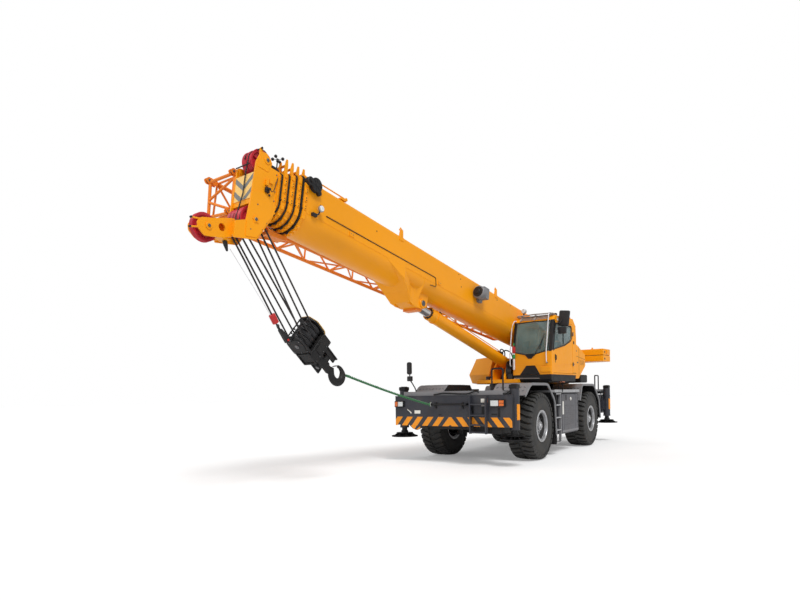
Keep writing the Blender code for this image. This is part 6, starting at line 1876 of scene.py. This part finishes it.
def make_outriggers():
    jack = (0, 1.43, 0)
    for end, x in (("front", 3.54), ("rear", -4.05)):
        for hand, side in (("left", 1), ("right", -1)):
            place = CARRIER @ Matrix.Translation((x, 0, 0))
            if side < 0:
                place = place @ Matrix.Rotation(math.pi, 4, "Z")
            beam = [block((0.015, -1.20, 1.025), (0.225, 1.372, 1.295), 0.006),
                    block((-0.09, 1.312, 0.962), (0.224, 1.345, 1.378), 0.006)]
            tube = [ring(0.105, 0.072, 0.802, 1.70, jack, steps=40),
                    drum(0.088, 1.60, 1.735, jack, "Z", 40, 0.006),
                    ring(0.1095, 0.072, 0.802, 0.85, jack, steps=40),
                    ring(0.1095, 0.100, 1.42, 1.46, jack, steps=40),
                    block((-0.10, 1.345, 1.0), (0.10, 1.40, 1.34), 0.01)]
            cap = [block((-0.10, 1.34, 1.70), (0.10, 1.52, 1.79), 0.016),
                   block((-0.06, 1.37, 1.785), (0.05, 1.49, 1.80), 0.006)]
            amber = []
            for turn in (-28, 0, 28):
                strip_shape = block((-0.026, 0.102, 1.02), (0.026, 0.109, 1.36), 0.002)
                amber.append(shifted(turned(strip_shape, turn, "Z"), jack))
            hoses = [sweep(curved([(-0.05, 1.33, 1.62), (-0.09, 1.30, 1.52), (-0.10, 1.315, 1.40),
                                   (-0.06, 1.32, 1.30)]), 0.013, 8),
                     sweep(curved([(0.07, 1.34, 1.64), (0.16, 1.29, 1.56), (0.17, 1.31, 1.44),
                                   (0.14, 1.33, 1.37)]), 0.013, 8)]
            lamp = [drum(0.030, 1.345, 1.40, (-0.135, 0, 1.47), "Y", 20, 0.006)] if end == "front" else []
            heads = [drum(0.012, 1.343, 1.352, (x0, 0, z0), "Y", 6, 0.002) for x0 in (-0.06, 0.19)
                     for z0 in (1.0, 1.34)]
            piece(f"beam_{end}_{hand}", f"outrigger_beam_{end}_{hand}", place, (CHARCOAL, beam),
                  (CHARCOAL, tube), (FRAME_BLACK, cap), (STRIPE_ORANGE, amber), (HOSE, hoses),
                  (PLATE_WHITE, lamp), (STEEL, heads), replaces=[f"outrigger_beam_{end}_{hand}"],
                  slot="carrier_paint")
            rod_shape = [drum(0.0645, 0.70, 1.59, jack, "Z", 36, 0.004)]
            pad = [drum(0.32, 0.585, 0.600, jack, "Z", 56, 0.003),
                   ring(0.32, 0.305, 0.585, 0.612, jack, steps=56),
                   drum(0.205, 0.672, 0.684, jack, "Z", 40, 0.003),
                   drum(0.085, 0.595, 0.735, jack, "Z", 32, 0.006)]
            for k in range(8):
                rib = prism([(0.05, 0.598), (0.30, 0.598), (0.19, 0.674), (0.05, 0.674)], -0.005, 0.005,
                            "Y")
                pad.append(shifted(turned(rib, 45 * k, "Z"), jack))
            piece(f"float_{end}_{hand}", f"jack_{end}_{hand}", place, (DARK_STEEL, rod_shape),
                  (FRAME_BLACK, pad), replaces=[f"jack_float_{end}_{hand}"], slot="black_paint")


def make_running_gear():
    """Axle dressings, shafts, hoses and valves under the carrier, and its lamps at the back."""
    iron, steel, hoses = [], [], []
    for x, way in ((FRONT_X, 1), (REAR_X, -1)):
        hub = (x, 0, 0.806)
        iron += [lathe([(0, 0.16), (0.10, 0.155), (0.155, 0.11), (0.185, 0.0), (0.155, -0.11),
                        (0.10, -0.155), (0, -0.16)], 36, "X", hub)]
        iron += both(ring(0.150, 0.128, 0.20, 0.24, hub, "Y", 32),
                     ring(0.145, 0.128, 0.50, 0.54, hub, "Y", 32))
        iron += both(drum(0.045, 0.30, 0.66, (x + way * 0.20, 0, 0.83), "Y", 24, 0.005))
        steel += both(drum(0.024, 0.62, 0.80, (x + way * 0.20, 0, 0.83), "Y", 20, 0.003))
        steel += [drum(0.010, 0.140, 0.153, hub, "X", 6)]
        hoses += both(sweep(curved([(x + way * 0.20, 0.34, 0.87), (x + way * 0.12, 0.30, 1.02),
                                    (x - way * 0.05, 0.28, 1.08)]), 0.011, 8))
    iron += [drum(0.045, 0.62, 1.70, (0, 0, 0.86), "X", 24, 0.004),
             drum(0.045, -1.80, -0.62, (0, 0, 0.86), "X", 24, 0.004),
             block((-0.60, -0.24, 0.66), (0.60, 0.24, 1.02), 0.03)]
    iron += both(drum(0.10, -0.55, 0.25, (0, 0.36, 0.78), "X", 32, 0.03))
    valves = [block((1.40, -0.30, 1.52), (1.90, 0.30, 1.595), 0.01),
              block((2.30, -0.28, 1.20), (2.75, 0.28, 1.56), 0.02)]
    hoses += [sweep(curved([(3.0, y, 1.20), (2.6, y * 1.1, 1.10), (1.9, y, 1.16), (1.0, y * 0.8, 1.08)]),
                    0.013, 8) for y in (-0.20, -0.15, -0.10, 0.12, 0.18)]
    back = [block((-4.335, -1.20, 1.04), (REAR_FACE, -0.86, 1.16), 0.008),
            block((-4.335, 0.86, 1.04), (REAR_FACE, 1.20, 1.16), 0.008),
            block((-4.312, -0.30, 0.95), (REAR_FACE, 0.30, 1.08), 0.003),
            *both(prism(smooth_outline([(0.35, 1.20), (0.55, 1.20), (0.55, 1.32), (0.35, 1.32)], 0.04),
                        -4.306, REAR_FACE, "X"))]
    red = both(block((-4.345, 1.02, 1.055), (-4.33, 1.185, 1.145), 0.004))
    amber = both(block((-4.345, 0.88, 1.055), (-4.33, 1.00, 1.145), 0.004))
    plate = [block((-4.316, -0.26, 0.965), (-4.311, 0.26, 1.065), 0.002)]
    hook = [block((-4.42, -0.10, 1.20), (REAR_FACE, 0.10, 1.24), 0.006),
            block((-4.42, -0.10, 1.30), (REAR_FACE, 0.10, 1.34), 0.006),
            drum(0.024, 1.17, 1.38, (-4.37, 0, 0), "Z", 20, 0.004)]
    slots = both(prism(smooth_outline([(-4.02, 1.30), (-3.96, 1.30), (-3.96, 1.44), (-4.02, 1.44)],
                                      0.025), 1.2885, 1.294, "Y"))
    piece("running_gear", "carrier", CARRIER, (FRAME_BLACK, iron, back, slots), (STEEL, steel),
          (HOSE, hoses), (DARK_STEEL, valves, hook), (LENS_RED, red), (LENS_ORANGE, amber),
          (PLATE_WHITE, plate))
    hood = smooth_outline([(-3.70, 1.6605), (-3.70, 1.78), (-3.62, 1.838), (-1.32, 1.838), (-1.26, 1.80),
                           (-1.26, 1.6605)], 0.02)
    shell = [prism(hood, -0.578, 0.578, "Y", 0.010)]
    grille = [block((-3.707, -0.45 + 0.06 * n, 1.68), (-3.698, -0.425 + 0.06 * n, 1.77), 0.001)
              for n in range(16)]
    grille += [block((x, -0.35, 1.836), (x + 0.03, 0.35, 1.843), 0.001)
               for x in (-3.4 + 0.07 * n for n in range(10))]
    seams = [block((x, -0.582, 1.67), (x + 0.006, 0.582, 1.842)) for x in (-2.90, -2.05)]
    latch = both(*[block((x, 0.575, 1.71), (x + 0.05, 0.592, 1.75), 0.004) for x in (-3.3, -2.5, -1.6)])
    piece("hood_shell", "carrier", CARRIER, (FRAME_BLACK, shell), (HOSE, grille, seams), (STEEL, latch),
          replaces=["engine_hood"], slot="carrier_paint")


def make_strap():
    """Green tie-back line from the front bar to the hook, with its shackle; it stays on the carrier."""
    to_carrier = CARRIER.inverted()
    high = to_carrier @ (SUPER @ Vector((7.10, 0.0, 1.995)))
    low = Vector((3.99, TIE_Y, TIE_Z))
    line = []
    for k in range(25):
        share = k / 24
        point = high.lerp(low, share)
        point.z -= 0.025 * math.sin(math.pi * share)
        line.append(point)
    twist = []
    for strand in range(2):
        turn_line = []
        for k in range(0, 24 * 8 + 1):
            a, share = divmod(k / 8, 1)
            base = line[min(int(a), 23)].lerp(line[min(int(a) + 1, 24)], share if a < 24 else 1)
            angle = k * 0.9 + strand * math.pi
            turn_line.append(base + Vector((0, math.cos(angle), math.sin(angle))) * 0.012)
        twist.append(sweep(turn_line, 0.015, 6))
    knots = [drum(0.024, -0.03, 0.03, line[k], "X", 16, 0.01) for k in (1, 8, 23)]
    piece("tie_line", "carrier", CARRIER, (WEBBING, twist, knots))
    bar = (PANEL_X + 0.10, 0, TIE_Z)
    ends = []
    for y, thick in ((TIE_Y, 0.010), (TIE_Y + 0.022, 0.008)):
        ends.append(sweep([around(bar, 18 * k, y, 0.045) for k in range(20)], thick, 8, closed=True))
    tail = sweep([(3.965, TIE_Y, TIE_Z), (4.00, TIE_Y, 1.372)], 0.014, 8)
    piece("tie_loop", "carrier", CARRIER, (WEBBING, ends[0], tail), (RIM_SILVER, ends[1]))


make_stage()
make_camera()
make_decks()
make_front_panel()
make_side_ladder()
make_tanks()
make_outriggers()
make_running_gear()
make_strap()
make_wheels()
make_boom()
make_sheaves()
make_head()
make_boom_fittings()
make_jib()
make_hook_block()
make_hook()
make_cylinder()
make_cab()
make_door()
make_interior()
make_housings()
make_counterweight()
make_turntable()
make_winches()

dress("front_outrigger_box", CHARCOAL)
dress("rear_outrigger_box", TANK_GREY)
for name in ("chassis", "front_axle", "rear_axle", "engine"):
    dress(name, FRAME_BLACK)

bpy.context.scene.view_settings.view_transform = "Standard"
